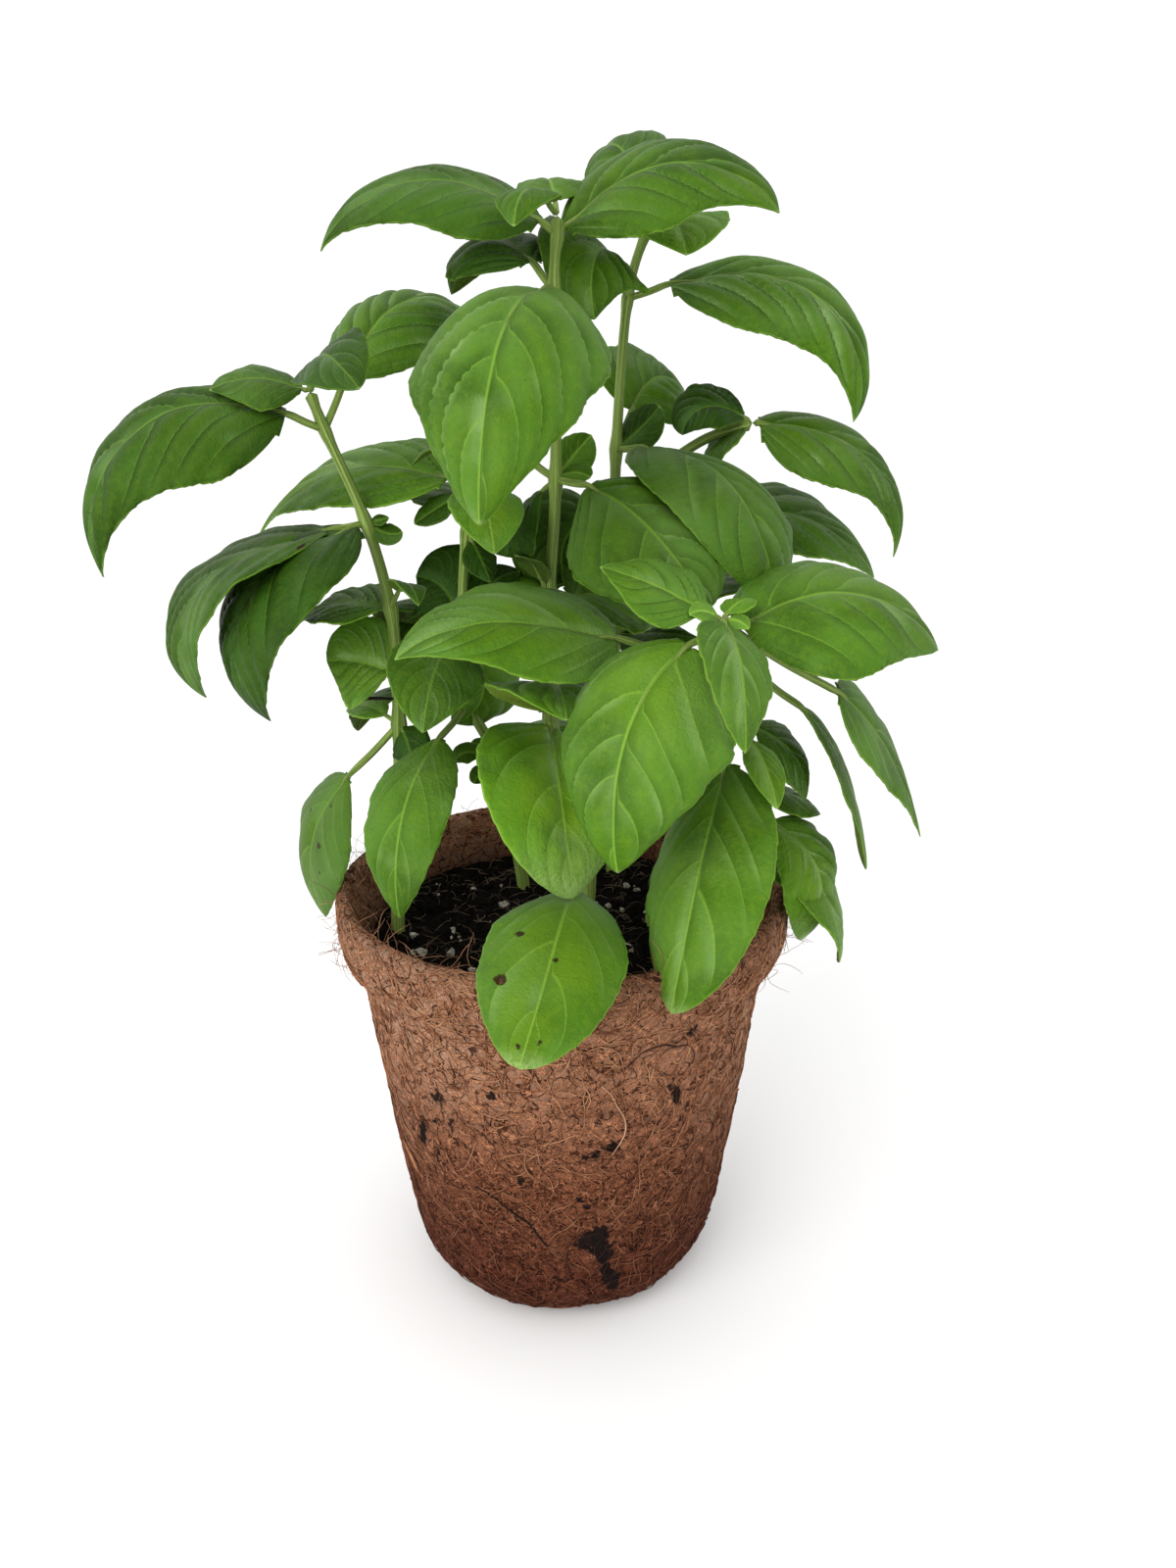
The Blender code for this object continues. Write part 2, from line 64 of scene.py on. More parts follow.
# A leaf, in degrees and mm. Bearing 0 is the right side, 90 the back. Roll tilts the blade about
# its rib, cup bends its sides down. Light, yellow and relief run from 0 to 1. Tip and base are
# how drawn out the two ends are, bend how late the blade droops, swing how far its tip turns.
Leaf = namedtuple("Leaf", "joint bearing rise droop length width petiole roll cup light yellow "
                          "relief tip base bend swing", defaults=(0.6, 0.84, 0.62, 1.4, 0))
# Light is how pale a blade is painted: partly its own tone, partly painted light and shade, set
# for how lit each blade stands in the plant.
LEAVES = {
    "leafy_stem_left": (LEFT, (), (
        (7, -68, 34, 78, 33, 20, 10, 38, 12, 0.1, 0, 0.6, 0.69, 0.45, 0.8, 30),
        (7, 195, 24, 61, 23, 23, 2, -28, 32, 0.3, 0.4, 0.6, 0.87, 0.64, 1.4, 1),
        (6, 199, 24, 133, 77, 48, 10, -27, 50, 0.25, 0.3, 0.9, 1.12, 0.5, 1.1, 2),
        (6, 54, 57, 98, 60, 34, 15, 22, 52, 0.5, 0.3, 0.9, 0.93, 0.64),
        (5, 190, -9, 129, 69, 40, 10, -8, 6, 0.3, 0.3, 0.8, 1.01, 0.64, 1.9, 34),
        (5, 208, -7, 135, 72, 50, 3, -6, 29, 0.1, 0.1, 0.9, 0.9, 0.5, 1.4, 6),
        (5, 0, -32, -55, 8, 6.5, 2, 50, 14, 0.2, 0.1, 0.6, 0.6, 0.6),
        (4, 167, 13, 59, 26, 31, 2, -10, 6, 1, 0, 0.9, 0.97, 0.55, 1.4, 1),
        (4, -67, 31, 80, 21, 9, 12, -15, 1, 0.2, 0.1),
        (3, 178, 22, 38, 17, 29, 2, -45, 4, 1, 0.7, 0.8, 0.65, 0.56, 1.7, 12),
        (3, 90, 25, 70, 40, 26, 8, 0, 20, 0.4, 0.3),
        (2, 152, 25, 65, 14, 11, 5, -15, 13, 1, 0.8),
        (2, -60, -30, 70, 13, 13, 2, 50, 30, 0, 0),
        (2, 181, -45, 76, 47, 33, 21, -35, 32, 0.35, 1, 0.2, 0.75, 0.7, 1.3, 2),
        (5, 10, 12, 0, 4.5, 3.5, 1.5, 50, 10, 0.15, 0.1),
    )),
    "leafy_stem_inner_left": (INNER_LEFT, (), (
        (5, 157, 14, 74, 72, 37, 8, -26, 18, 0.85, 0.5, 0.8, 1.03, 0.53),
        (5, -76, -6, 65, 27, 19, 5, -1, 5, 0.75, 1, 0.4),
        (5, 188, -28, 10, 12, 9, 7, -40, 14, 0.1, 0, 0.6, 0.7, 0.5),
        (4, 100, 30, 80, 46, 30, 8, 0, 20, 0.4, 0.3),
        (3, -98, -9, 57, 35, 25, 13, -19, 17, 0.45, 0.15, 0.6, 0.9, 0.64, 1.5, -3),
        (3, 125, 15, 90, 40, 28, 8, 0, 20, 0.3, 0.2),
        (3, -14, -66, 116, 26, 29, 10, 32, 14, 1, 0.5, 0.7),
        (2, -107, -12, 103, 56, 24, 22, 3, 29, 0.55, 0.5, 0.3, 0.93, 0.66, 1.4, 6),
        (2, 150, 10, 90, 40, 26, 10, 0, 20, 0.3, 0.2),
        (3, 161, 63, 77, 14, 28, 5, -55, 5, 0, 0, 1),
        (1, 186, 30, 110, 9, 7, 6, -50, 22, 0.25, 0.8, 0.6, 0.6, 0.6),
        (1, 165, 48, 40, 7.5, 6, 3, -50, 20, 0.2, 0.7, 0.6, 0.6, 0.6),
        (1, 215, -10, 60, 7, 6, 3, -40, 20, 0.2, 0.8, 0.6, 0.6, 0.6),
        (3, 20, 55, 60, 16, 16, 6, 30, 20, 0, 0, 1),
        (4, -40, -50, 20, 12, 10, 3, 20, 30, 0, 0, 1),
    )),
    "leafy_stem_centre": (CENTRE, (), (
        (7, -113, 22, 107, 23, 15, 6, -2, 29, 0.35, 0.4, 0.6, 0.85, 0.69, 1.4, 5),
        (7, 99, 43, 60, 20, 17, 6, -4, 20, 0.5, 0.6),
        (6, 186, 37, 100, 59, 37, 5, -31, 34, 0.25, 0.3, 0.7, 1.18, 0.54, 1.2, 6),
        (6, -1, 49, 107, 59, 44, 2, 34, 30, 0.45, 0.4, 0.8, 0.97, 0.61, 1.3, -8),
        (5, -103, 2, 98, 83, 52, 7, -6, 62, 0.6, 0.3, 0.8, 0.82, 0.52, 1.2, -2),
        (5, 137, 44, 135, 40, 36, 10, -18, 48, 0.2, 0.1, 0.9),
        (4, -46, -4, 50, 48, 44, 12, 30, 46, 0.4, 0.2, 0.6, 0.74, 0.52, 0.7, 9),
        (4, 175, 35, 90, 34, 24, 8, 0, 20, 0.3, 0.2),
        (4, -28, 25, 60, 9, 8, 1.5, 40, 22, 0.55, 0.4, 0.8, 0.6, 0.6),
        (4, 32, 48, 10, 13, 11, 2, 55, 34, 0.6, 0.4, 0.9, 0.6, 0.6),
        (3, 103, 20, 100, 44, 32, 8, -5, 25, 0.3, 0.2),
        (3, 30, 8, 62, 32, 34, 6, 30, 2, 0.65, 0.1, 0.7),
        (2, -84, -2, 88, 60, 44, 2, -24, 15, 1, 1, 0.5, 0.72, 0.64, 1.6, 11),
        (2, -83, 51, 94, 44, 36, 6, -4, 9, 0.85, 0.2, 0.7),
        (1, -96, 15, 55, 64.4, 35, 35, -6, 31, 0.7, 0.6, 0.15, 0.63, 0.6, 1, -13),
        (4, 164, -37, 40, 21, 28, 5, -27, 49, 0.05, 0, 0.8, 0.59, 0.85, 1.5, 11),
        (3, -140, 70, 75, 12, 13, 6, 0, 15, 0, 0, 0.8),
    )),
    "leafy_stem_back": (BACK, BACK_BRANCH, (
        (6, -72, 12, 89, 27, 31, 6, 5, 2, 1, 0.8, 0.5),
        (6, 112, 58, 120, 43, 29, 14, -35, 48, 0.3, 0.1, 0.7, 0.95, 0.67, 1.4, 3),
        (5, -7, 18, 129, 79, 48, 12, 27, 34, 0.6, 0.1, 1, 0.98, 0.58, 1.4, -5),
        (5, -107, 34, 165, 38, 32, 12, -35, 20, 0.5, 0.2, 0.8),
        (4, -52, 5, 100, 71, 45, 11, -5, 32, 0.4, 0.2, 0.6, 0.73, 0.65, 1.4, 1),
        (4, 57, 51, 93, 33, 33, 13, 46, 23, 0.6, 0.2, 0.7, 0.97, 0.65, 1.3, -4),
        (3, 5, 16, 80, 64, 37, 21, 27, 16, 0.45, 0.3, 0.8, 0.87, 0.63, 1.4, 2),
        (3, 165, 15, 94, 50, 30, 10, 5, 20, 0.3, 0.2),
        (2, 95, 15, 100, 60, 40, 10, 0, 25, 0.4, 0.2),
        (2, 0, 34, 75, 54, 34, 14, 0, 20, 0.3, 0.2),
        (1, 130, 10, 90, 46, 30, 12, 0, 20, 0.4, 0.3),
        (-1, -4, 3, 111, 63, 41, 2, 24, 36, 0.45, 0.2, 0.9, 1.2, 0.47, 1.4, -2),
        (-1, 188, 35, 124, 22, 20, 3, -35, 4, 0.1, 0, 1, 0.75, 0.65, 1.4, 3),
        (-1, -160, -25, 60, 18, 14, 3, 0, 5, 0.4, 0.5),
        (4, -8, 40, -10, 15, 13, 1.5, 58, 22, 0.1, 0, 0.8, 0.6, 0.6),
        (3, 222, 42, 173, 29, 30, 7, -53, 21, 0.2, 0, 0.8, 0.52, 0.62, 0.9, 8),
        (2, -19, 10, 30, 24, 23, 2, 16, 34, 0.2, 0, 0.6, 1.11, 0.45, 1.7, 1),
    )),
    "leafy_stem_front": (FRONT, (), (
        (7, 166, 29, 21, 25, 22, 5, -29, 18, 0.6, 0.25, 0.9, 1.02, 0.54, 1.3, 6),
        (7, -85, 1, 100, 39, 18, 3, -23, 24, 0.6, 0, 0.7, 0.89, 0.63, 1.4, -3),
        (7, 40, 40, 60, 9, 9, 2, 0, 15, 0.8, 0.9),
        (6, 8, 34, 99, 55.4, 51.5, 2, 23, 39, 0.6, 0.4, 0.5, 0.68, 0.43, 1.3, -4),
        (6, -141, -7, 102, 60, 50, 13, -20, 62, 0.7, 0.4, 0.5, 0.7, 0.39, 0.7, 13),
        (4, 191, 17, 60, 56, 39, 38, -26, 18, 0.6, 0.4, 0.6, 1.04, 0.48, 2, 10),
        (6, 27, -30, 41, 55.2, 24, 37, 46, 21, 0.6, 0.1, 0.4, 1.31, 0.56, 0.7, 1),
        (4, 28, -35, 45, 60, 19, 17, 40, 19, 0.6, 0.2, 0.4, 0.61, 0.87, 0.7, 14),
        (3, -111, -34, 43, 65, 38, 15, 20, 40, 0.7, 0.1, 0.4, 0.66, 0.56, 1.4, -4),
        (3, -77, -14, 47, 22, 10, 11, -3, 22, 1, 0.6),
        (2, -15, -20, 115, 42, 32, 22, 20, 29, 0.8, 0.4, 0.8, 0.62, 0.62, 1.1, -4),
        (2, 100, 0, 90, 38, 24, 10, 0, 20, 0.4, 0.3),
        (3, -2, -22, 81, 27, 22, 5, 21, 25, 0.4, 0.1, 1),
        (2, 12, -3, 54, 22, 20, 17, 9, 31, 0.55, 0.2, 1),
        (1, -17, 5, 113, 46, 28, 22, 4, 8, 0.75, 0.4, 0.8, 0.63, 0.81, 1.2, 11),
        (7, 195, 35, 70, 7, 7, 1.5, -35, 15, 0.9, 0.9),
        (7, 320, 10, 60, 6, 5, 1.5, 30, 15, 0.9, 0.9),
    )),
}

# Spots on a blade, by node and leaf: t along it, u across it, radius in mm.
SPOTS = {
    ("leafy_stem_centre", 14): ((0.44, -0.50, 1.2), (0.56, 0.07, 0.8), (0.66, 0.74, 0.6),
                                (0.68, -0.62, 1.7), (0.93, -0.20, 0.7), (0.90, 0.30, 0.6)),
    ("leafy_stem_left", 13): ((0.20, 0.20, 0.6), (0.34, -0.35, 0.7), (0.46, 0.30, 1.0),
                              (0.52, -0.10, 0.6), (0.64, 0.45, 0.7), (0.74, 0.10, 0.6)),
    ("leafy_stem_centre", 2): ((0.22, -0.55, 1.2),),
    ("leafy_stem_inner_left", 0): ((0.48, 0.10, 0.6),),
    ("leafy_stem_centre", 12): ((0.20, 0.25, 0.8),),
    ("leafy_stem_back", 6): ((0.62, 0.55, 0.8),),
    ("leafy_stem_left", 4): ((0.10, 0.80, 1.2),),
    ("leafy_stem_back", 2): ((0.30, 0.50, 0.5),),
}
# Holes through a blade: t, u, radius in mm.
HOLES = {("leafy_stem_centre", 14): (0.68, -0.62, 1.0)}
# Dry pale tips: t where each starts.
DRY_TIPS = {("leafy_stem_centre", 12): 0.78, ("leafy_stem_centre", 14): 0.93,
            ("leafy_stem_front", 8): 0.95}
NEVER_DRY = 0.999  # t for a blade with no dry tip

# A blade's outline and arch.
BLADE_START = 0.015
BLADE_THICK = 0.4  # mm
EDGE_WAVE, EDGE_WAVES, WAVE_STEP = 0.45, 2.5, 1.7
TOOTH_PITCH, TOOTH_DEPTH = 4.6, 0.35  # mm
TOOTH_CURVE, TOOTH_LEVEL, TOOTH_EDGE = 1.5, 0.4, 5  # a tooth's shape, mean and fall inwards
SCALLOP = 0.018  # how far the margin stands out between side veins, as a part of the width
SCALLOP_LEVEL, MARGIN_EASE = 0.7, 0.1
RIPPLE, RIPPLES, RIPPLE_SHIFT = 0.15, 6.2, 2.3  # mm, number along the blade, shift
FULL_LENGTH, FULL_WIDTH = 40, 28  # mm: shorter or narrower blades have smaller teeth and waves
DENT, DENT_SPAN = 0.012, 11.0  # as a part of the width, and mm
GRIDS = ((30.0, 66, 28), (16.0, 40, 20), (0.0, 24, 12))  # blades longer than mm: rows, strips

# Veins: side veins leave the rib and sweep towards the tip.
VEIN_SPACINGS = (0.25, 0.17)  # at no relief and at full relief, as a part of the length
VEIN_START, VEIN_STAGGER = 0.02, 0.07
VEIN_SWEEP, VEIN_BEND = 0.46, 1.35
VEIN_STRAY = 0.22  # how uneven the steps between side veins are
STRAY_WAVES, STRAY_SHIFT = 9.0, 3.1
PHASES, PHASE_START = 10.0, 0.4  # the vein count that the stored phase is divided by
VEIN_WANDER, WANDER_SCALE = 0.20, 60.0
VEIN_FADE = (0.68, 0.96)  # parts of the half width between which the side veins end
VEIN_WIDE, VEIN_NARROWS = 0.050, 0.03  # parts of the step between veins
# Painted light just after each side vein and painted shade before the next, as parts of the step
# between veins; RIB_SHADE is how far the rib's painted light and shade reach.
PAINTED_LIT_SPAN, PAINTED_SHADE_SPAN = (0.02, 0.36), (0.58, 0.98)
RIB_WIDE, RIB_NARROWS, RIB_SHADE = 0.75, 0.45, (0.5, 3.6)  # mm
EDGE_LINE = (0.12, 0.50)  # mm in from the margin
QUILT = 0.042  # how far the blade swells between its veins, as a part of its width
SWELL_CURVE, QUILT_LEVEL, EDGE_FADE = 0.55, 0.85, 0.45
RIB_CLEAR, BASE_EASE, TIP_EASE = 0.22, 0.08, 0.2  # where the swelling begins
RIB_VALLEY = 0.035  # how deep the rib lies, as a part of the width
VALLEY_REACH, VALLEY_EASE = 0.13, 0.25
HOLE_ROWS = 200  # how finely the rib is followed to a hole's place

# Greens of the blades, each from a dark leaf to a light one.
TOP_GREENS = {
    "body": ((0.011, 0.035, 0.001, 1), (0.087, 0.221, 0.009, 1)),
    "warm": ((0.036, 0.080, 0.001, 1), (0.195, 0.335, 0.009, 1)),
    "pale": ((0.019, 0.070, 0.005, 1), (0.124, 0.283, 0.035, 1)),
    "deep": ((0.004, 0.014, 0.001, 1), (0.036, 0.108, 0.004, 1)),
    # A pale bluish green laid on as painted highlights: glints and sheen.
    "painted_highlight": ((0.045, 0.108, 0.024, 1), (0.337, 0.515, 0.185, 1)),
    "vein": ((0.071, 0.149, 0.013, 1), (0.247, 0.443, 0.050, 1)),
}
UNDER_GREENS = {
    "body": ((0.035, 0.075, 0.006, 1), (0.190, 0.310, 0.040, 1)),
    "warm": ((0.075, 0.110, 0.006, 1), (0.260, 0.360, 0.035, 1)),
    "vein": ((0.10, 0.16, 0.04, 1), (0.30, 0.42, 0.12, 1)),
}
HALF_UNIT = 30.0  # mm: a blade's stored half width is a part of this

# Stem and petioles, mm.
STEM_FOOT_R, STEM_TIP_R, BRANCH_R = 1.9, 1.1, 1.25
STEM_FOOT_Z = 90.0
STEM_SIDES, PETIOLE_SIDES = 16, 10
STEM_SPAN = 2.0
STEM_SQUARE = 0.10  # how far the stem's four corners stand out, as a part of its radius
KNOT, KNOT_REACH = 0.38, 3.0  # how much a joint swells, and how far along the stem
PETIOLE_R, PETIOLE_END_R = 0.95, 0.25
PETIOLE_SPAN, PETIOLE_TAPER = 1.6, 0.55
PETIOLE_SAG, PETIOLE_DROP = 0.02, 0.15
SMALL_PETIOLE, BIG_LEAF = 0.7, 30.0  # leaves shorter than BIG_LEAF have thinner petioles
RIB_REACH = 0.6  # part of the blade that the rib stands out below
RIB_ROWS, RIB_SINK, RIB_STAND = 24, 0.9, 0.30
STEM_TONE = (0.5, 0.3, 0.0, 1.0)

# Pot: radius and height along its wall, from the floor inside, over the lip, to the foot.
POT_WALL = (
    (0.0, 6.5), (22.0, 6.5), (34.0, 7.5), (39.5, 12.5), (41.6, 20.0), (46.0, 48.0), (49.4, 75.0),
    (52.4, 98.0), (55.0, 107.0), (58.6, 116.0), (60.6, 120.6), (62.2, 121.0), (63.4, 119.8),
    (63.6, 114.0), (63.2, 108.5), (61.2, 103.5), (57.8, 99.5), (54.5, 74.0), (51.0, 46.0),
    (46.8, 18.0), (45.0, 11.0), (41.4, 5.2), (36.0, 1.5), (28.5, 0.0), (0.0, 0.0),
)
POT_SPINS = 300  # steps round the pot
POT_STEP = 1.6  # mm along its wall
POT_LUMP, POT_LUMP_SPAN = 0.7, 0.022  # mm and m
POT_ROUGH = ((2.4, 0.22), (0.9, 0.10))  # the felt's roughness: span and depth, mm
FOOT_Z = 1.0  # mm: the foot stays flat below this
FOOT_CLEAR = 0.25  # mm: no fibre lies lower
FLOOR_R = 0.02  # m: the pot's floor stays even within this radius

# Painted shade and painted light on the pot's wall, in metres: the height where each starts, and
# how far it takes to fill.
PAINTED_SHADE_INSIDE, INSIDE_FADE = 0.119, 0.014
LIP_SHADE, LIP_EDGE, LIP_FADE = 0.35, 0.116, 0.003
DARK_FOOT, FOOT_FADE = 0.085, 0.065
PAINTED_LIGHT_FROM, TOP_FADE, SHADY_SIDE = 0.055, 0.040, 0.06
PAINTED_SIDE_LIGHT, SIDE_FOOT, SIDE_FADE = 0.9, 0.035, 0.03
SIDE_START, SIDE_REACH = 0.55, 0.35  # parts of the radius

# Dark stains: angle round the pot, height, half width and half height in mm, tilt, strength.
STAINS = (
    (-80.0, 37.0, 6.0, 3.2, 20.0, 1.0), (-77.0, 30.0, 3.2, 7.0, 18.0, 1.0),
    (-73.5, 20.0, 3.0, 7.5, 15.0, 1.0), (-82.5, 34.0, 2.0, 3.0, 0.0, 0.9),
    (-125.0, 77.0, 4.0, 5.0, 30.0, 0.6), (-122.0, 70.0, 2.0, 6.0, 10.0, 0.6),
    (-135.0, 62.0, 2.5, 7.0, -15.0, 0.7), (-130.0, 55.0, 1.8, 5.0, -10.0, 0.6),
    (-108.7, 83.5, 2.6, 1.2, 0.0, 0.9), (-81.0, 65.5, 4.5, 1.6, 15.0, 0.75),
    (-76.0, 67.5, 3.2, 2.0, -10.0, 0.75), (-101.6, 56.3, 1.6, 1.2, 0.0, 0.9),
    (-84.9, 51.1, 1.1, 2.4, 0.0, 0.85), (-82.0, 48.0, 1.2, 2.0, 0.0, 0.85),
    (-54.5, 99.0, 2.0, 5.0, 15.0, 0.6), (-57.0, 80.0, 2.6, 5.0, 25.0, 0.6),
    (-52.0, 72.0, 2.0, 4.0, 20.0, 0.55), (-113.5, 104.0, 1.2, 2.6, 10.0, 0.7),
    (-95.0, 62.5, 1.2, 0.9, 0.0, 0.8), (-90.0, 20.0, 1.6, 1.0, 0.0, 0.7),
    (-62.0, 60.0, 1.5, 6.0, 10.0, 0.5), (-49.0, 88.0, 1.5, 7.0, 12.0, 0.45),
)
STAIN_BOX = 16.0  # mm: no stain reaches further
STAIN_RAGS = (2.6, 1.1)  # mm: spans of a stain's ragged outline
FINE_RAGS = 0.6  # how strong the finer of them is
STAIN_SPREAD, STAIN_FULL, STAIN_RAGGED = 1.35, 1.6, 0.9
SPECK_SPAN, SPECK_SHIFT = 2.4, (9.0, 4.0, 2.0)  # small specks all over the wall
SPECK_LEVEL, SPECK_GAIN, SPECK_MOST = 0.58, 5.0, 0.8

# Fibres on the wall: name, count, radius and longest length in mm, the share laid near the lip,
# dark and light colour.
FIBRES = (
    ("pot_fibres_light", 1500, 0.15, 18, 0.25, (0.26, 0.106, 0.048, 1), (0.48, 0.250, 0.132, 1)),
    ("pot_fibres_mid", 1700, 0.15, 12, 0, (0.14, 0.049, 0.021, 1), (0.30, 0.120, 0.056, 1)),
    ("pot_fibres_dark", 600, 0.12, 12, 0, (0.045, 0.015, 0.008, 1), (0.11, 0.036, 0.016, 1)),
)
FIBRE_SEED, FIBRE_SHORTEST, FIBRE_STEPS, FIBRE_LIFT = 11, 5, 6, 0.35
FIBRE_TOP, FIBRE_FOOT = 0.010, 0.034  # m along the wall from the lip and from the foot's middle
LIP_REACH, BAND_REACH = 0.018, 0.030  # m along the wall below the lip
LEVEL_STRAY = 0.5  # how far fibres near the lip stray from lying level
STRAND_CURL, STRAND_STRAY, STRAND_CLEAR, LOWEST_BOW = 0.22, 0.30, 0.00008, 0.2
STRAND_TOP, STRAND_FOOT, STRAND_R = 0.012, 0.032, 0.03  # m
FUZZ_COUNT, FUZZ_LENGTH, FUZZ_STEPS, FUZZ_R = 900, (3, 13), 7, 0.075
FUZZ_RUN = (-0.006, 0.016)  # m along the wall from the lip
FUZZ_OUT, FUZZ_ALONG, FUZZ_RISE = (0.15, 0.8), (0.3, 1.2), (-0.7, 0.5)
FUZZ_CURL, FUZZ_INWARD, FUZZ_STRAY = 0.30, 0.12, 0.14
FUZZ_BROWNS = ((0.16, 0.06, 0.03, 1), (0.42, 0.22, 0.12, 1))
THIN_END, END_RUN, MIDDLE_RUN = 0.35, 0.12, 0.76  # how a fibre thins towards its ends

# Lines on the pot's wall: name, radius and lift in mm, dark and light colour, then each line's
# points as angle and height.
CRACK = ((-116.2, 50.8), (-113.0, 49.9), (-110.2, 48.5), (-106.0, 45.0), (-102.8, 42.7),
         (-99.5, 40.6), (-97.0, 36.5), (-93.4, 31.9))
PALE_FIBRE = ((-79.1, 87.8), (-76.4, 84.6), (-74.6, 80.5), (-72.3, 76.0), (-72.2, 70.5),
              (-75.5, 64.6))
CURLED_FIBRE = ((-72.6, 92.6), (-69.4, 96.3), (-66.3, 97.2), (-62.6, 97.4), (-59.0, 95.5),
                (-55.2, 94.6), (-52.5, 90.9), (-53.1, 88.0))
TUFT = tuple(((-147.5 + i, 52.5 - 0.6 * i), (-145.0 + i, 49.5 - i), (-142.5 + i, 46.0 - 0.4 * i))
             for i in range(5))
MARKS = (
    ("pot_crack", 0.34, 0.30, (0.010, 0.006, 0.004, 1), (0.020, 0.010, 0.007, 1), (CRACK,)),
    ("pale_loose_fibre", 0.20, 0.45, (0.42, 0.24, 0.14, 1), (0.66, 0.42, 0.27, 1), (PALE_FIBRE,)),
    ("dark_loose_fibre", 0.24, 0.45, (0.030, 0.012, 0.008, 1), (0.09, 0.035, 0.02, 1),
     (CURLED_FIBRE,)),
    ("wall_tuft", 0.34, 1.10, (0.20, 0.075, 0.032, 1), (0.42, 0.19, 0.10, 1), TUFT),
)
MARK_SPAN = 1.5

# A dark broken twig end on the left stem, mm.
TWIG = ((-44.5, -3.0, 174.0), (-48.0, -4.6, 174.6), (-51.5, -5.4, 174.8), (-54.5, -6.0, 174.4))
TWIG_R = 0.5
TWIG_BROWNS = ((0.010, 0.007, 0.005, 1), (0.028, 0.018, 0.012, 1))

# Soil, mm.
SOIL_TOP_Z, SOIL_EDGE, SOIL_DEPTH = 106.0, 54.2, 8.0
SOIL_LUMP, SOIL_LUMP_SPAN, SOIL_DIP = 1.6, 0.014, 1.2  # the span in m
RIM_LUMP, LUMP_GROWTH = 0.3, 4.0  # how lumpy the soil is at its rim, and how that grows inwards
SOIL_CLODS = ((4.5, 0.9), (1.8, 0.5))  # span and height
SOIL_SIDES, SOIL_RINGS, RING_STEP, SOIL_TAPER = 180, 26, 2.05, 0.965
CRUMBS, CRUMB_SIZES = 2600, (0.8, 2.6)
PERLITE, PERLITE_SIZES = 60, (0.8, 3.0)
# Perlite heaps: x, y, spread in mm, count.
PERLITE_HEAPS = ((-31.5, -5.0, 1.3, 7), (-29.5, -9.5, 1.0, 4), (-40.0, -19.0, 1.6, 7),
                 (19.5, -15.0, 1.6, 6), (36.0, 14.0, 1.4, 4))
SIZE_SPREAD, LUMP_LONG, LUMP_WIDE, LUMP_FLAT = (0.6, 1.0), (0.7, 1.4), (0.7, 1.2), 0.8
LUMP_ROUGH, LUMP_GRAIN, LUMP_RISE = 0.55, 3.0, 0.15
ROOTS, ROOT_LENGTH, ROOT_STEPS, ROOT_R = 420, (3, 12), 7, 0.085
ROOT_LIFT, ROOT_ARCH, ROOT_CURL, ROOT_STRAY = 0.25, 0.9, 0.35, 0.25
ROOT_BROWNS = ((0.055, 0.038, 0.024, 1), (0.20, 0.15, 0.10, 1))
LUMP_EDGE, ROOT_EDGE, ROOT_END_EDGE = 1.5, 2.0, 1.0  # mm inside the soil's rim
SOIL_SEED = 5

# Camera and light, m and degrees.
CAMERA_PLACE, CAMERA_TILT = (0.0072, -0.298, 0.252), 19.1
LENS, SENSOR = 26.0, 36.0  # mm
KEY_PLACE, KEY_SIZE, KEY_POWER = (-0.55, -0.80, 0.65), 0.80, 6.8
KEY_COLOUR = (1.0, 0.985, 0.96)
LIGHT_AIM = (0.0, 0.0, 0.17)
SKY_STRENGTH = 1.09
FLOOR_SIZE = 60.0
FLOOR_WHITE = (0.97, 0.97, 0.97, 1)


def operator(operation, reflected=False):
    """A method that adds one kind of Math node."""
    def method(self, *others):
        values = (*others, self) if reflected else (self, *others)
        return self.finish.math(operation, *values)
    return method


class Socket:
    """A value in a shader: arithmetic on it adds the Math nodes that work it out."""

    def __init__(self, finish, link):
        self.finish = finish
        self.link = link

    def math(self, operation, *others):
        return self.finish.math(operation, self, *others)

    __add__ = __radd__ = operator("ADD")
    __mul__ = __rmul__ = operator("MULTIPLY")
    __sub__ = operator("SUBTRACT")
    __rsub__ = operator("SUBTRACT", reflected=True)
    __abs__ = operator("ABSOLUTE")
    __gt__ = operator("GREATER_THAN")
    __lt__ = operator("LESS_THAN")


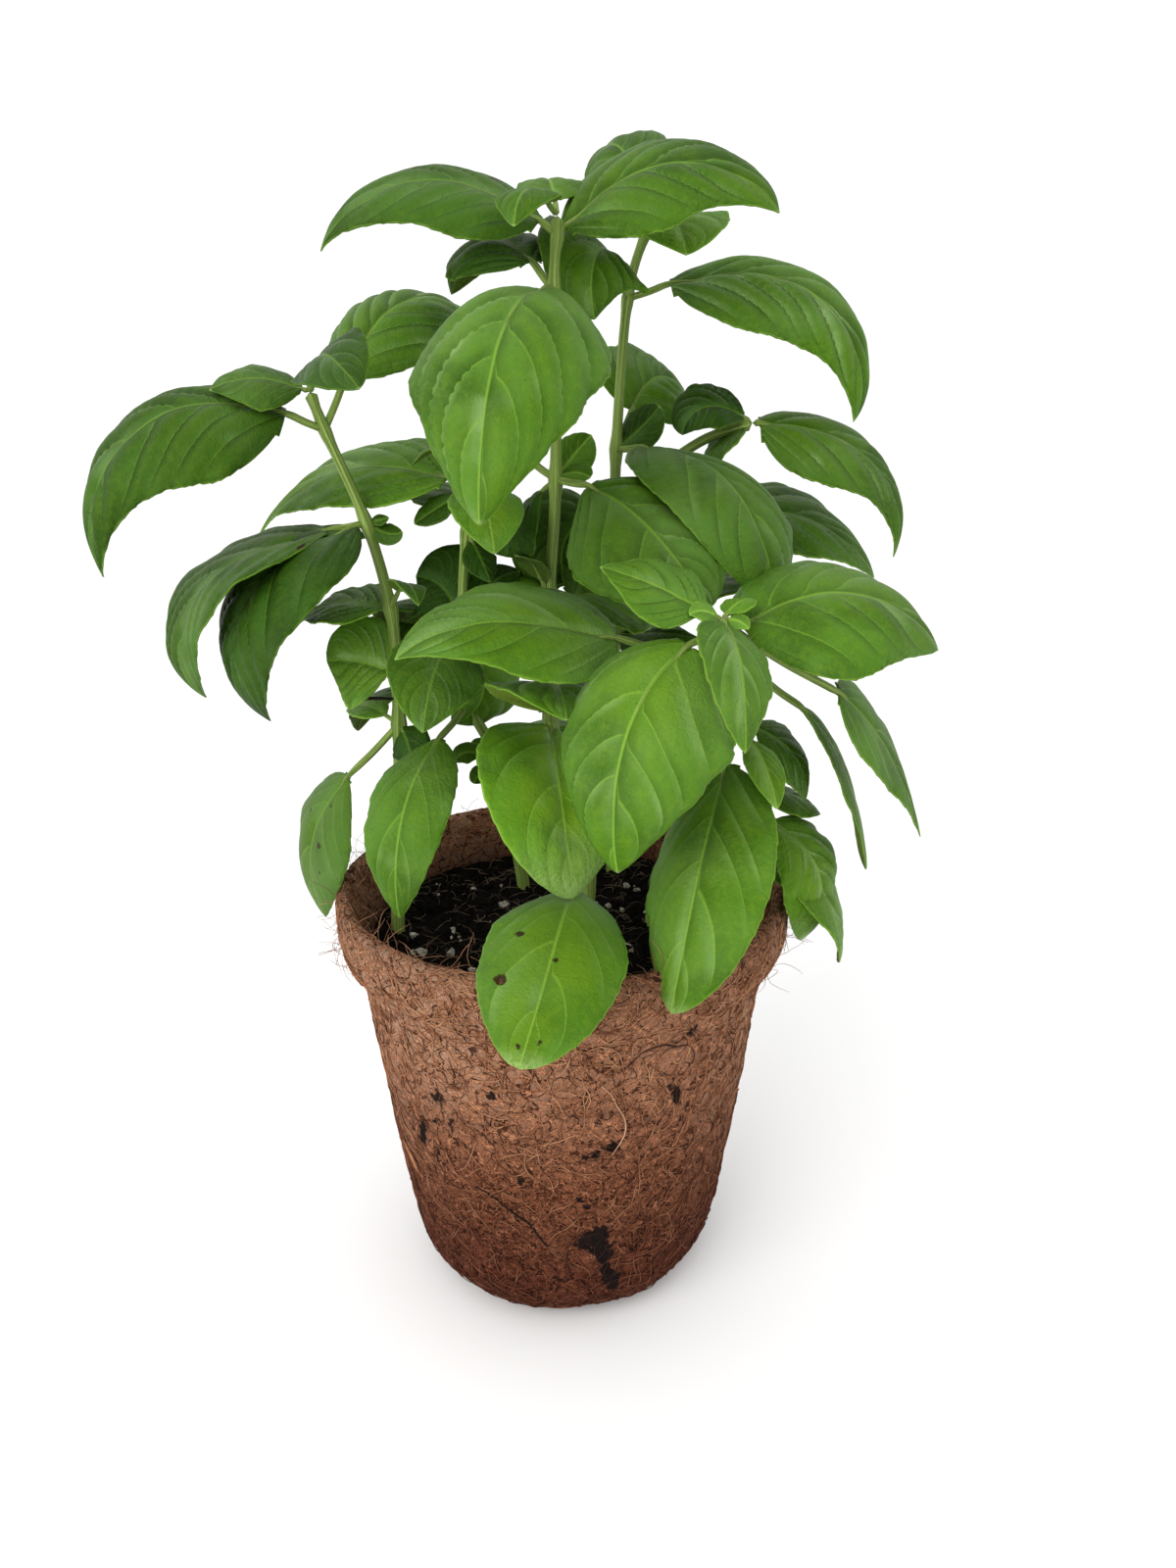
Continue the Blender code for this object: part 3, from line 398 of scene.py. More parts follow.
class Finish:
    """A procedural material round one Principled shader."""

    def __init__(self, name, **constants):
        self.material = bpy.data.materials.new(name)
        self.material.use_nodes = True
        self.tree = self.material.node_tree
        self.shader = self.tree.nodes["Principled BSDF"]
        self.place = self.node("ShaderNodeTexCoord", output="Object")
        for socket, value in constants.items():
            self.shader.inputs[socket.replace("_", " ")].default_value = value

    def node(self, kind, settings=None, inputs=None, output=0):
        """Adds a node: its settings first, then the values or links of its sockets."""
        made = self.tree.nodes.new(kind)
        for name, value in (settings or {}).items():
            setattr(made, name, value)
        for name, value in (inputs or {}).items():
            self.feed(made.inputs[name], value)
        return Socket(self, made.outputs[output])

    def feed(self, socket, value):
        if isinstance(value, Socket):
            self.tree.links.new(value.link, socket)
        else:
            socket.default_value = value

    def math(self, operation, *values):
        return self.node("ShaderNodeMath", {"operation": operation}, dict(enumerate(values)))

    def mix(self, factor, low, high, blend="MIX"):
        """A colour between two: low where the factor is 0, high where it is 1."""
        return self.node("ShaderNodeMix", {"data_type": "RGBA", "blend_type": blend},
                         {0: factor, 6: low, 7: high}, 2)

    def coats(self, colour, *layers):
        """A colour under layers of (how much, colour, blend), the last one on top."""
        for share, layer, *blend in layers:
            colour = self.mix(share, colour, layer, *blend)
        return colour

    def shades(self, light, pairs):
        """One colour for each named pair: its first where light is 0, its second at 1."""
        return {name: self.mix(light, *pair) for name, pair in pairs.items()}

    def step(self, value, low, high):
        """A soft step from 0 at low to 1 at high."""
        return self.node("ShaderNodeMapRange", {"interpolation_type": "SMOOTHSTEP"},
                         {"Value": value, "From Min": low, "From Max": high})

    def noise(self, scale, detail=3.0, roughness=0.5, distortion=0.0, vector=None):
        return self.node("ShaderNodeTexNoise", None, {
            "Vector": vector or self.place, "Scale": scale, "Detail": detail,
            "Roughness": roughness, "Distortion": distortion})

    def patches(self, scale, low, high, detail=2.0, roughness=0.5, distortion=0.0):
        """Soft patches: a noise as a step from 0 at low to 1 at high."""
        return self.step(self.noise(scale, detail, roughness, distortion), low, high)

    def cells(self, scale, feature="DISTANCE_TO_EDGE"):
        return self.node("ShaderNodeTexVoronoi", {"feature": feature},
                         {"Vector": self.place, "Scale": scale})

    def split(self, kind, vector):
        """The three parts of a vector or a colour."""
        first = self.node(kind, None, {0: vector})
        return [Socket(self, out) for out in first.link.node.outputs]

    def uv(self):
        return self.split("ShaderNodeSeparateXYZ", self.node("ShaderNodeUVMap"))[:2]

    def attribute(self, name):
        """The four parts of a colour attribute."""
        made = self.node("ShaderNodeAttribute", {"attribute_name": name}, None, "Color")
        alpha = Socket(self, made.link.node.outputs["Alpha"])
        return self.split("ShaderNodeSeparateColor", made) + [alpha]

    def ragged(self, amount):
        """A soft spot given a sharp ragged outline."""
        return self.step(amount + (self.noise(900.0, 3.0, 0.6) - 0.5) * 0.5, 0.42, 0.58)

    def blanched(self):
        """How pale and dry a blade is, in wrinkles."""
        dry = self.attribute("veins")[2]
        return dry * (self.patches(600.0, 0.35, 0.60, 3.0, 0.6, 1.5) * 0.7 + 0.3)

    def bump(self, *layers):
        """Relief from layers of (height, depth in metres)."""
        normal = None
        for height, depth in layers:
            inputs = {"Height": height, "Distance": depth}
            if normal:
                inputs["Normal"] = normal
            normal = self.node("ShaderNodeBump", None, inputs)
        self.feed(self.shader.inputs["Normal"], normal)

    def paint(self, **sockets):
        for socket, value in sockets.items():
            self.feed(self.shader.inputs[socket.replace("_", " ")], value)
        return self.material


# Materials


def vein_masks(finish, half):
    """Where a blade's veins and edge are, from its UV and half its width in mm.

    Each vein has painted light on its side towards the tip and painted shade on its side towards
    the base; the rib has painted light on one side and painted shade on the other.
    """
    along_blade, across = finish.uv()
    stored, relief, _, _ = finish.attribute("veins")
    side = across * 2.0 - 1.0
    reach = abs(side)
    wander = (finish.noise(WANDER_SCALE, 1.0) - 0.5) * VEIN_WANDER
    phase = stored * PHASES + wander
    after = phase.math("FRACT")
    near = phase.math("PINGPONG", 0.5)
    fades = (1.0 - finish.step(reach, *VEIN_FADE)) * finish.step(reach, 0.0, 0.06)
    uneven = finish.patches(55.0, 0.35, 0.60, 1.0) * 0.65 + 0.35
    strong = uneven * fades * (relief * 0.80 + 0.20)
    vein = (1.0 - finish.step(near, 0.0, VEIN_WIDE - reach * VEIN_NARROWS)) * fades
    # Painted light and painted shade beside each vein, and on the two sides of the rib.
    painted_lit = (1.0 - finish.step(after, *PAINTED_LIT_SPAN)) * strong
    painted_shade = finish.step(after, *PAINTED_SHADE_SPAN) * strong
    rib_width = RIB_WIDE - along_blade * RIB_NARROWS
    rib = 1.0 - finish.step(reach * half, rib_width * 0.35, rib_width)
    painted_by_rib = (1.0 - finish.step(reach * half, *RIB_SHADE)) * (relief * 0.8 + 0.2)
    painted_lit = painted_lit.math("MAXIMUM", painted_by_rib * (side < 0.0) * 0.9)
    painted_shade = painted_shade.math("MAXIMUM", painted_by_rib * (side > 0.0) * 0.8)
    edge = 1.0 - finish.step((1.0 - reach) * half, *EDGE_LINE)
    return reach, vein, painted_lit, painted_shade, rib, edge


def skin_net(finish):
    """A fine net of cells in a blade's skin."""
    return finish.step(finish.cells(520.0), 0.0, 0.16)


def blade_top():
    finish = Finish("blade_top", Specular_IOR_Level=0.15, Specular_Tint=(0.8, 1.0, 0.5, 1.0))
    light, yellow, blemish, half = finish.attribute("tone")
    reach, vein, painted_lit, painted_shade, rib, edge = vein_masks(finish, half * HALF_UNIT)
    # Light is partly painted light and shade: each blade is painted paler or darker for how lit it
    # stands.
    green = finish.shades(light, TOP_GREENS)
    heart = 1.0 - finish.step(reach, 0.15, 0.95)
    heart = heart * (0.35 + finish.patches(34.0, 0.40, 0.66) * 0.65)
    cool = finish.patches(26.0, 0.46, 0.68, distortion=0.6)
    pools = finish.patches(42.0, 0.46, 0.68, distortion=0.4)
    grain = finish.noise(1700.0, 2.0, 0.6)
    mottle = finish.noise(520.0, 3.0, 0.6)
    # Painted glints beside the painted light of the veins, where the blade is also less rough, and
    # broad patches of painted sheen.
    gloss_and_painted_glint = finish.patches(50.0, 0.44, 0.66, distortion=0.5) * (painted_lit * 0.80 + 0.08)
    painted_sheen = finish.patches(24.0, 0.50, 0.74, distortion=0.8)
    specks = 1.0 - finish.step(finish.cells(300.0, "F1"), 0.03, 0.10)
    colour = finish.coats(
        green["body"],
        (heart * (0.10 + yellow * 0.70), green["warm"]),
        (cool * 0.60, green["pale"]),
        (pools * 0.70, green["deep"]),
        (finish.step(grain, 0.42, 0.66) * 0.25, green["pale"]),
        (finish.step(mottle, 0.45, 0.68) * 0.25, green["warm"]),
        # Painted shade and painted light beside the veins and the rib.
        (painted_shade * 0.80, green["deep"]),
        (painted_lit * 0.60, green["pale"]),
        # Painted highlights: glints and sheen.
        (gloss_and_painted_glint * 0.9, green["painted_highlight"]),
        (painted_sheen * 0.13, green["painted_highlight"]),
        (vein * 0.50, green["vein"]),
        (rib * 0.75, green["vein"]),
        (edge * 0.60, green["vein"]),
        (specks * 0.5, (0.012, 0.029, 0.002, 1)),
        (finish.blanched() * 0.75, (0.314, 0.443, 0.151, 1)),
        (finish.ragged(blemish), (0.029, 0.019, 0.005, 1)),
    )
    finish.bump((skin_net(finish), 0.00006), (grain, 0.00012), (mottle, 0.00025))
    return finish.paint(Base_Color=colour, Roughness=0.42 + grain * 0.18 - gloss_and_painted_glint * 0.15)


def blade_under():
    finish = Finish("blade_under", Specular_IOR_Level=0.08)
    light, yellow, blemish, half = finish.attribute("tone")
    _, vein, _, painted_shade, rib, edge = vein_masks(finish, half * HALF_UNIT)
    green = finish.shades(light, UNDER_GREENS)
    grain = finish.noise(1500.0, 2.0, 0.6)
    colour = finish.coats(
        green["body"],
        (0.15 + yellow * 0.6, green["warm"]),
        (finish.step(grain, 0.4, 0.7) * 0.25, (0.13, 0.21, 0.045, 1)),
        # Painted shade beside the veins and the rib.
        (painted_shade * 0.30, (0.020, 0.050, 0.004, 1)),
        (vein * 0.5, green["vein"]),
        (rib * 0.6, green["vein"]),
        (edge * 0.5, green["vein"]),
        (finish.ragged(blemish), (0.060, 0.030, 0.012, 1)),
    )
    finish.bump((skin_net(finish), -0.00008), (grain, 0.00010), (vein, 0.0002))
    return finish.paint(Base_Color=colour, Roughness=0.62 + grain * 0.1)


def stem_skin():
    """Pale green with darker lines that run along the stem."""
    finish = Finish("stem_skin", Specular_IOR_Level=0.2, Specular_Tint=(0.9, 1.0, 0.6, 1.0))
    along_stem, around = finish.uv()
    blemish = finish.attribute("tone")[2]
    lines = finish.node("ShaderNodeCombineXYZ", None, {0: along_stem * 3.0, 1: around * 26.0})
    streak = finish.noise(1.0, 3.0, 0.6, vector=lines)
    fleck = finish.noise(900.0, 4.0, 0.7)
    green = finish.coats(
        (0.085, 0.150, 0.018, 1),
        (finish.step(streak, 0.38, 0.64), (0.290, 0.400, 0.100, 1)),
        (finish.step(fleck, 0.5, 0.8) * 0.35, (0.32, 0.42, 0.13, 1)),
        (blemish, (0.10, 0.085, 0.035, 1)),
    )
    finish.bump((streak, 0.0004), (fleck, 0.00015))
    return finish.paint(Base_Color=green, Roughness=0.42 + fleck * 0.2)


def curls_of(finish, scale, shift, width):
    """Thin curled lines: the level lines of a noise."""
    moved = finish.node("ShaderNodeVectorMath", {"operation": "ADD"},
                        {0: finish.place, 1: (shift, shift, shift)})
    field = finish.noise(scale, 1.0, 0.5, 0.6, moved)
    return 1.0 - finish.step(abs(field - 0.5), width * 0.3, width)


def coir_wall():
    """Pressed fibre: curled light lines over a brown felt with dark gaps, stained in places."""
    finish = Finish("coir_wall", Specular_IOR_Level=0.05)
    stain, inside, low, high = finish.attribute("tone")
    felt = finish.noise(560.0, 4.0, 0.75)
    gaps = curls_of(finish, 230.0, 7.7, 0.036)
    curls = curls_of(finish, 290.0, 0.0, 0.040)
    fine = curls_of(finish, 520.0, 3.1, 0.050)
    flecks = 1.0 - finish.step(finish.cells(150.0, "F1"), 0.07, 0.12)
    flecks = flecks * finish.patches(90.0, 0.46, 0.54)
    brown = finish.coats(
        (0.064, 0.019, 0.009, 1),
        (finish.step(felt, 0.38, 0.62), (0.307, 0.116, 0.056, 1)),
        (finish.patches(45.0, 0.38, 0.68, 3.0, 0.6) * 0.25, (0.342, 0.143, 0.075, 1)),
        # Painted light, high on the wall towards the left and at its sides.
        (high * 0.60, (0.450, 0.285, 0.190, 1)),
        (gaps * 0.95, (0.042, 0.014, 0.008, 1)),
        (curls * 0.95, (0.477, 0.212, 0.111, 1)),
        (fine * 0.80, (0.398, 0.165, 0.081, 1)),
        # Darker towards the foot: partly painted shade, partly darker staining.
        (low * 0.85, (0.24, 0.14, 0.15, 1), "MULTIPLY"),
        (flecks * 0.85, (0.024, 0.007, 0.006, 1)),
        # Painted shade deep inside the pot and on the lip's top.
        (inside * 0.80, (0.024, 0.007, 0.005, 1)),
        (finish.ragged(stain) * 0.95, (0.008, 0.006, 0.006, 1)),
    )
    finish.bump((felt, 0.0007), (curls + fine - gaps, 0.0005))
    return finish.paint(Base_Color=brown, Roughness=0.92)


def fibre(name, dark, light):
    """Fibre between two colours, darker low on the pot, with painted shade inside it and on the
    lip's top, and darker where it is stained.
    """
    finish = Finish(name, Specular_IOR_Level=0.12)
    stain, inside, low, _ = finish.attribute("tone")
    drift = finish.noise(160.0, 2.0)
    brown = finish.coats(
        dark,
        (finish.step(drift, 0.35, 0.65), light),
        # Darker towards the foot: partly painted shade, partly darker staining.
        (low * 0.85, (0.28, 0.17, 0.18, 1), "MULTIPLY"),
        # Painted shade inside the pot and on the lip's top.
        (inside * 0.6, (0.05, 0.02, 0.009, 1)),
        (finish.ragged(stain) * 0.9, (0.014, 0.009, 0.008, 1)),
    )
    return finish.paint(Base_Color=brown, Roughness=0.7 + drift * 0.1)


def soil_crumb():
    finish = Finish("soil_crumb", Specular_IOR_Level=0.04)
    grit = finish.noise(700.0, 6.0, 0.75)
    dark = finish.coats(
        (0.0040, 0.0034, 0.0030, 1),
        (finish.step(grit, 0.5, 0.8), (0.022, 0.015, 0.010, 1)),
        (finish.patches(160.0, 0.5, 0.75, 3.0) * 0.4, (0.016, 0.010, 0.006, 1)),
    )
    finish.bump((grit, 0.0008))
    return finish.paint(Base_Color=dark, Roughness=0.95)


def perlite_grain():
    finish = Finish("perlite_grain", Specular_IOR_Level=0.3)
    pits = finish.noise(1100.0, 5.0, 0.7)
    pale = finish.mix(finish.step(pits, 0.36, 0.6), (0.10, 0.085, 0.06, 1),
                      (0.50, 0.47, 0.40, 1))
    finish.bump((pits, 0.0006))
    return finish.paint(Base_Color=pale, Roughness=0.9)


# Meshes


def part_of(value, whole):
    """A value as a part of a whole, kept from 0 to 1."""
    return min(1.0, max(0.0, value / whole))


def placed(name, data):
    """An object in the scene for a mesh, a curve, a light or a camera."""
    made = bpy.data.objects.new(name, data)
    bpy.context.scene.collection.objects.link(made)
    return made


def mesh_object(name, bm, *materials):
    """An object from a bmesh, with its place in its mesh."""
    mesh = bpy.data.meshes.new(name)
    bm.to_mesh(mesh)
    bm.free()
    for material in materials:
        mesh.materials.append(material)
    return placed(name, mesh)


def new_piece(name, bm, node, slot, *materials, smooth=True):
    """One finished piece on the object's body, in place of a node of the frame."""
    piece = mesh_object(name, bm, *materials)
    for polygon in piece.data.polygons:
        polygon.use_smooth = smooth
    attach(piece, BODY)
    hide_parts(node)
    return piece


def leaf_mesh():
    """An empty mesh with the layers that leaves and stems carry."""
    bm = bmesh.new()
    bm.loops.layers.uv.new("UVMap")
    for name in ("tone", "veins"):
        bm.verts.layers.float_color.new(name)
    return bm


def direction(bearing, pitch):
    a, p = math.radians(bearing), math.radians(pitch)
    return Vector((math.cos(p) * math.cos(a), math.cos(p) * math.sin(a), math.sin(p)))


def spline(a, b, c, d, t):
    return 0.5 * ((2 * b) + (c - a) * t + (2 * a - 5 * b + 4 * c - d) * t * t
                  + (3 * b - a - 3 * c + d) * t ** 3)


def smooth_line(points, span):
    """A smooth line through the points, with a point about every span."""
    line = [points[0]]
    for i in range(len(points) - 1):
        before, after = points[max(i - 1, 0)], points[min(i + 2, len(points) - 1)]
        steps = max(1, round((points[i + 1] - points[i]).length / span))
        for k in range(1, steps + 1):
            line.append(spline(before, points[i], points[i + 1], after, k / steps))
    return line


def half_width(t, leaf):
    """Half the blade's width at t of its length, as a part of the widest half width."""
    widest = leaf.base / (leaf.base + leaf.tip)
    top = widest ** leaf.base * (1 - widest) ** leaf.tip
    return t ** leaf.base * (1 - t) ** leaf.tip / top


def rib_way(leaf, t):
    """The bearing and the pitch of the rib at t of its length, in degrees."""
    return leaf.bearing + leaf.swing * t * t, leaf.rise - leaf.droop * t ** leaf.bend


def rib_frames(start, leaf, rows):
    """Points and frames along the blade's rib: (place, across, up)."""
    at = start + direction(leaf.bearing, leaf.rise) * leaf.petiole * MM
    c, s = math.cos(math.radians(leaf.roll)), math.sin(math.radians(leaf.roll))
    frames = []
    for i in range(rows + 1):
        bearing, pitch = rib_way(leaf, i / rows)
        across = direction(bearing + 90, 0)
        up = direction(bearing, pitch).cross(across)
        frames.append((at.copy(), across * c + up * s, up * c - across * s))
        at = at + direction(*rib_way(leaf, (i + 0.5) / rows)) * leaf.length * MM / rows
    return frames


def vein_phase(t, u, leaf, seed):
    """How many side veins lie before t along the blade, at u across it."""
    start = VEIN_START + (VEIN_STAGGER if u > 0 else 0.0)
    root = t - VEIN_SWEEP * abs(u) ** VEIN_BEND - start
    spacing = VEIN_SPACINGS[0] + (VEIN_SPACINGS[1] - VEIN_SPACINGS[0]) * leaf.relief
    stray = math.sin(STRAY_WAVES * root + seed * STRAY_SHIFT + (1.0 if u > 0 else 0.0))
    return root / spacing + VEIN_STRAY * stray + PHASES * PHASE_START


def quilting(t, u, swell, leaf):
    """How far the blade swells out of its arc at t along and u across, in mm."""
    reach, width = abs(u), leaf.width
    away = part_of(reach, RIB_CLEAR)
    ends = part_of(t, BASE_EASE) * part_of(1.0 - t, TIP_EASE)
    fade = 1.0 - EDGE_FADE * reach
    quilt = QUILT * width * (swell - QUILT_LEVEL) * away * fade * ends * leaf.relief
    valley = RIB_VALLEY * width * math.exp(-reach / VALLEY_REACH)
    return quilt - valley * part_of(1.0 - t, VALLEY_EASE)


def spotting(spots, t, u, half, length):
    """How far a place of a blade is inside one of its spots, from 0 to 1."""
    most = 0.0
    for along, across, radius in spots:
        far = math.hypot((t - along) * length, (u - across) * half / MM) / radius
        most = max(most, 1.0 - 0.5 * far)
    return most


def cut_hole(bm, start, leaf, hole):
    """Takes out the faces of a blade that lie in a hole (t, u, radius in mm)."""
    along, across, radius = hole
    at, side, up = rib_frames(start, leaf, HOLE_ROWS)[round(along * HOLE_ROWS)]
    half = leaf.width / 2 * MM * half_width(along, leaf)
    cup = math.radians(leaf.cup)
    bend = cup * across
    centre = at + side * (half * math.sin(bend) / cup) - up * (half * (1 - math.cos(bend)) / cup)
    inside = [f for f in bm.faces if (f.calc_center_median() - centre).length < radius * MM]
    bmesh.ops.delete(bm, geom=inside, context="FACES")


def grow_blade(bm, start, node, number, leaf):
    """One blade: a fine grid laid along its rib, cupped, quilted, waved and toothed."""
    seed = number * WAVE_STEP
    length, width, cup = leaf.length, leaf.width, math.radians(max(leaf.cup, 1.0))
    rows, strips = next(grid[1:] for grid in GRIDS if length > grid[0])
    frames = rib_frames(start, leaf, rows)
    tone, veins = (bm.verts.layers.float_color[name] for name in ("tone", "veins"))
    made = bmesh.ops.create_grid(bm, x_segments=rows, y_segments=strips, size=1.0,
                                 calc_uvs=True)["verts"]
    teeth = max(4, round(length / TOOTH_PITCH))
    spots = SPOTS.get((node, number), ())
    dry = DRY_TIPS.get((node, number), NEVER_DRY)
    for v in made:
        row, u = round((v.co.x + 1) / 2 * rows), v.co.y
        at, across, up = frames[row]
        t = min(max(row / rows, BLADE_START), 1.0)
        half = width / 2 * MM * half_width(t, leaf)
        tooth = ((t * teeth + (0.5 if u > 0 else 0.0)) % 1.0) ** TOOTH_CURVE - TOOTH_LEVEL
        ends = part_of(t, MARGIN_EASE) * part_of(1 - t, MARGIN_EASE) * part_of(length, FULL_LENGTH)
        half += TOOTH_DEPTH * MM * tooth * abs(u) ** TOOTH_EDGE * ends
        phase = vein_phase(t, u, leaf, seed)
        swell = abs(math.sin(math.pi * phase)) ** SWELL_CURVE
        half += SCALLOP * leaf.relief * width * MM * (swell - SCALLOP_LEVEL) * abs(u) ** 3 * ends
        wave = EDGE_WAVE * u * u * math.sin(2 * math.pi * EDGE_WAVES * t + seed + 2 * u)
        ripple = math.sin(2 * math.pi * RIPPLES * t + RIPPLE_SHIFT * seed - 3 * u)
        wave += RIPPLE * abs(u) ** 3 * ripple
        wave *= part_of(width, FULL_WIDTH)
        lift = (wave * math.sin(math.pi * t) + quilting(t, u, swell, leaf)) * MM
        bend = cup * u
        normal = up * math.cos(bend) + across * math.sin(bend)
        v.co = (at + across * (half * math.sin(bend) / cup)
                - up * (half * (1 - math.cos(bend)) / cup) + normal * lift)
        dent = noise.noise(v.co / (DENT_SPAN * MM))
        v.co += normal * dent * DENT * width * leaf.relief * MM
        # The tone holds light, which is partly painted light and shade, then yellow, spots and
        # half width.
        v[tone] = (leaf.light, leaf.yellow, spotting(spots, t, u, half, length),
                   half / (HALF_UNIT * MM))
        v[veins] = (phase / PHASES, leaf.relief, max(0.0, t - dry) / (1.0 - dry), 1.0)
    bmesh.ops.remove_doubles(bm, verts=made, dist=MERGE * MM)


def grow_tube(bm, line, radii, sides, shade, square=0.0):
    """A tube along a line, closed at its ends. Square makes its four corners stand out."""
    tone = bm.verts.layers.float_color["tone"]
    last = len(line) - 1
    made = bmesh.ops.create_grid(bm, x_segments=last, y_segments=sides, size=1.0,
                                 calc_uvs=True)["verts"]
    side = Vector((1.0, 0.0, 0.0))
    frames = []
    for i in range(last + 1):
        ahead = (line[min(i + 1, last)] - line[max(i - 1, 0)]).normalized()
        side = (side - ahead * side.dot(ahead)).normalized()
        frames.append((side.copy(), ahead.cross(side)))
    for v in made:
        i, turn = round((v.co.x + 1) / 2 * last), math.pi * (v.co.y + 1)
        out = frames[i][0] * math.cos(turn) + frames[i][1] * math.sin(turn)
        radius = 0.0 if i in (0, last) else radii[i] * (1 + square * math.cos(4 * turn))
        v.co = line[i] + out * radius
        v[tone] = shade
    bmesh.ops.remove_doubles(bm, verts=made, dist=FINE_MERGE * MM)


def stem_radii(line, joints, foot, tip):
    """Radii along a stem, swollen at its joints."""
    last = len(line) - 1
    radii = []
    for i, at in enumerate(line):
        near = min((at - joint).length for joint in joints) / (KNOT_REACH * MM)
        swell = 1.0 + KNOT * math.exp(-near * near)
        radii.append((foot + (tip - foot) * i / last) * MM * swell)
    return radii


def grow_petiole(bm, start, leaf):
    """The petiole, which runs on as the rib under the blade and thins out."""
    length, petiole = leaf.length, leaf.petiole
    frames = rib_frames(start, leaf, RIB_ROWS)
    size = 1.0 if length >= BIG_LEAF else SMALL_PETIOLE
    base, _, up = frames[0]
    middle = start.lerp(base, 0.5) - up * PETIOLE_SAG * petiole * MM
    points = [start, middle, base - up * PETIOLE_DROP * MM]
    depth = (RIB_VALLEY * leaf.width * RIB_SINK + RIB_STAND) * MM
    for at, _, up in frames[2:int(RIB_ROWS * RIB_REACH):2]:
        points.append(at - up * depth)
    line = smooth_line(points, PETIOLE_SPAN * MM)
    last = len(line) - 1
    free = petiole / (petiole + length * RIB_REACH)
    radii = []
    for i in range(last + 1):
        run = max(0.0, (i / last - free) / (1 - free))
        radii.append((PETIOLE_R + (PETIOLE_END_R - PETIOLE_R) * run ** PETIOLE_TAPER) * size * MM)
    grow_tube(bm, line, radii, PETIOLE_SIDES, (leaf.light, leaf.yellow, 0.0, 1.0))


def make_leafy_stem(node, joints, branch, leaves, blade_materials, skin):
    """One stem with its petioles, and its blades, in place of the frame's node."""
    blades, stems = leaf_mesh(), leaf_mesh()
    joint_places = [Vector(joint) * MM for joint in joints]
    foot = Vector((joint_places[0].x, joint_places[0].y, STEM_FOOT_Z * MM))
    line = smooth_line([foot] + joint_places, STEM_SPAN * MM)
    radii = stem_radii(line, joint_places[1:], STEM_FOOT_R, STEM_TIP_R)
    grow_tube(stems, line, radii, STEM_SIDES, STEM_TONE, STEM_SQUARE)
    branch_places = [Vector(joint) * MM for joint in branch]
    if branch:
        twig = smooth_line(branch_places, STEM_SPAN * MM)
        radii = stem_radii(twig, branch_places[-1:], BRANCH_R, BRANCH_R)
        grow_tube(stems, twig, radii, STEM_SIDES, STEM_TONE, STEM_SQUARE)
    for i, leaf in enumerate(Leaf(*row) for row in leaves):
        start = branch_places[-1] if leaf.joint < 0 else joint_places[leaf.joint]
        grow_petiole(stems, start, leaf)
        grow_blade(blades, start, node, i, leaf)
        if (node, i) in HOLES:
            cut_hole(blades, start, leaf, HOLES[node, i])
    bmesh.ops.recalc_face_normals(stems, faces=stems.faces)
    name = node.replace("leafy_stem_", "")
    new_piece(f"{name}_stem", stems, node, "basil", skin)
    blade_piece = new_piece(f"{name}_blades", blades, node, "basil", *blade_materials)
    thick = blade_piece.modifiers.new("thick", "SOLIDIFY")
    thick.thickness = BLADE_THICK * MM
    thick.offset = 0.0
    thick.material_offset = 1


# Pot


class Wall:
    """The pot's wall as a line of (radius, height) that can be read at any run along it."""

    def __init__(self):
        points = [Vector((r, 0.0, z)) * MM for r, z in POT_WALL]
        self.line = smooth_line(points, POT_STEP * MM)
        self.runs = [0.0]
        for a, b in zip(self.line, self.line[1:]):
            self.runs.append(self.runs[-1] + (b - a).length)
        self.lip = max(range(len(self.line)), key=lambda i: self.line[i].z)

    def at(self, run):
        """The place on the wall and the way out of it, at a run from the floor's middle."""
        i = max(1, next((k for k, r in enumerate(self.runs) if r >= run), len(self.runs) - 1))
        a, b = self.line[i - 1], self.line[i]
        part = (run - self.runs[i - 1]) / max(self.runs[i] - self.runs[i - 1], 1e-9)
        along = (b - a).normalized()
        return a.lerp(b, part), Vector((-along.z, 0.0, along.x))


def lumped(place):
    """A point of the pot's outer wall, moved in or out with the lumps of the felt."""
    flat = Vector((place.x, place.y, 0.0))
    return place + flat.normalized() * noise.noise(place / POT_LUMP_SPAN) * POT_LUMP * MM


def staining(place):
    """How stained the pot is at a place of its outer wall, from 0 to 1."""
    angle = math.degrees(math.atan2(place.y, place.x))
    radius = Vector((place.x, place.y)).length / MM
    coarse, fine = (noise.noise(place / (span * MM)) for span in STAIN_RAGS)
    ragged = coarse + FINE_RAGS * fine
    most = 0.0
    for centre, height, half_wide, half_high, tilt, strength in STAINS:
        x = math.radians((angle - centre + 180) % 360 - 180) * radius
        z = place.z / MM - height
        if abs(x) > STAIN_BOX or abs(z) > STAIN_BOX:
            continue
        c, s = math.cos(math.radians(tilt)), math.sin(math.radians(tilt))
        far = math.hypot((x * c + z * s) / half_wide, (z * c - x * s) / half_high)
        shade = STAIN_FULL - STAIN_SPREAD * far + STAIN_RAGGED * ragged
        most = max(most, strength * part_of(shade, 1.0))
    speck = noise.noise(place / (SPECK_SPAN * MM) + Vector(SPECK_SHIFT))
    return max(most, min(SPECK_MOST, max(0.0, (speck - SPECK_LEVEL) * SPECK_GAIN)))


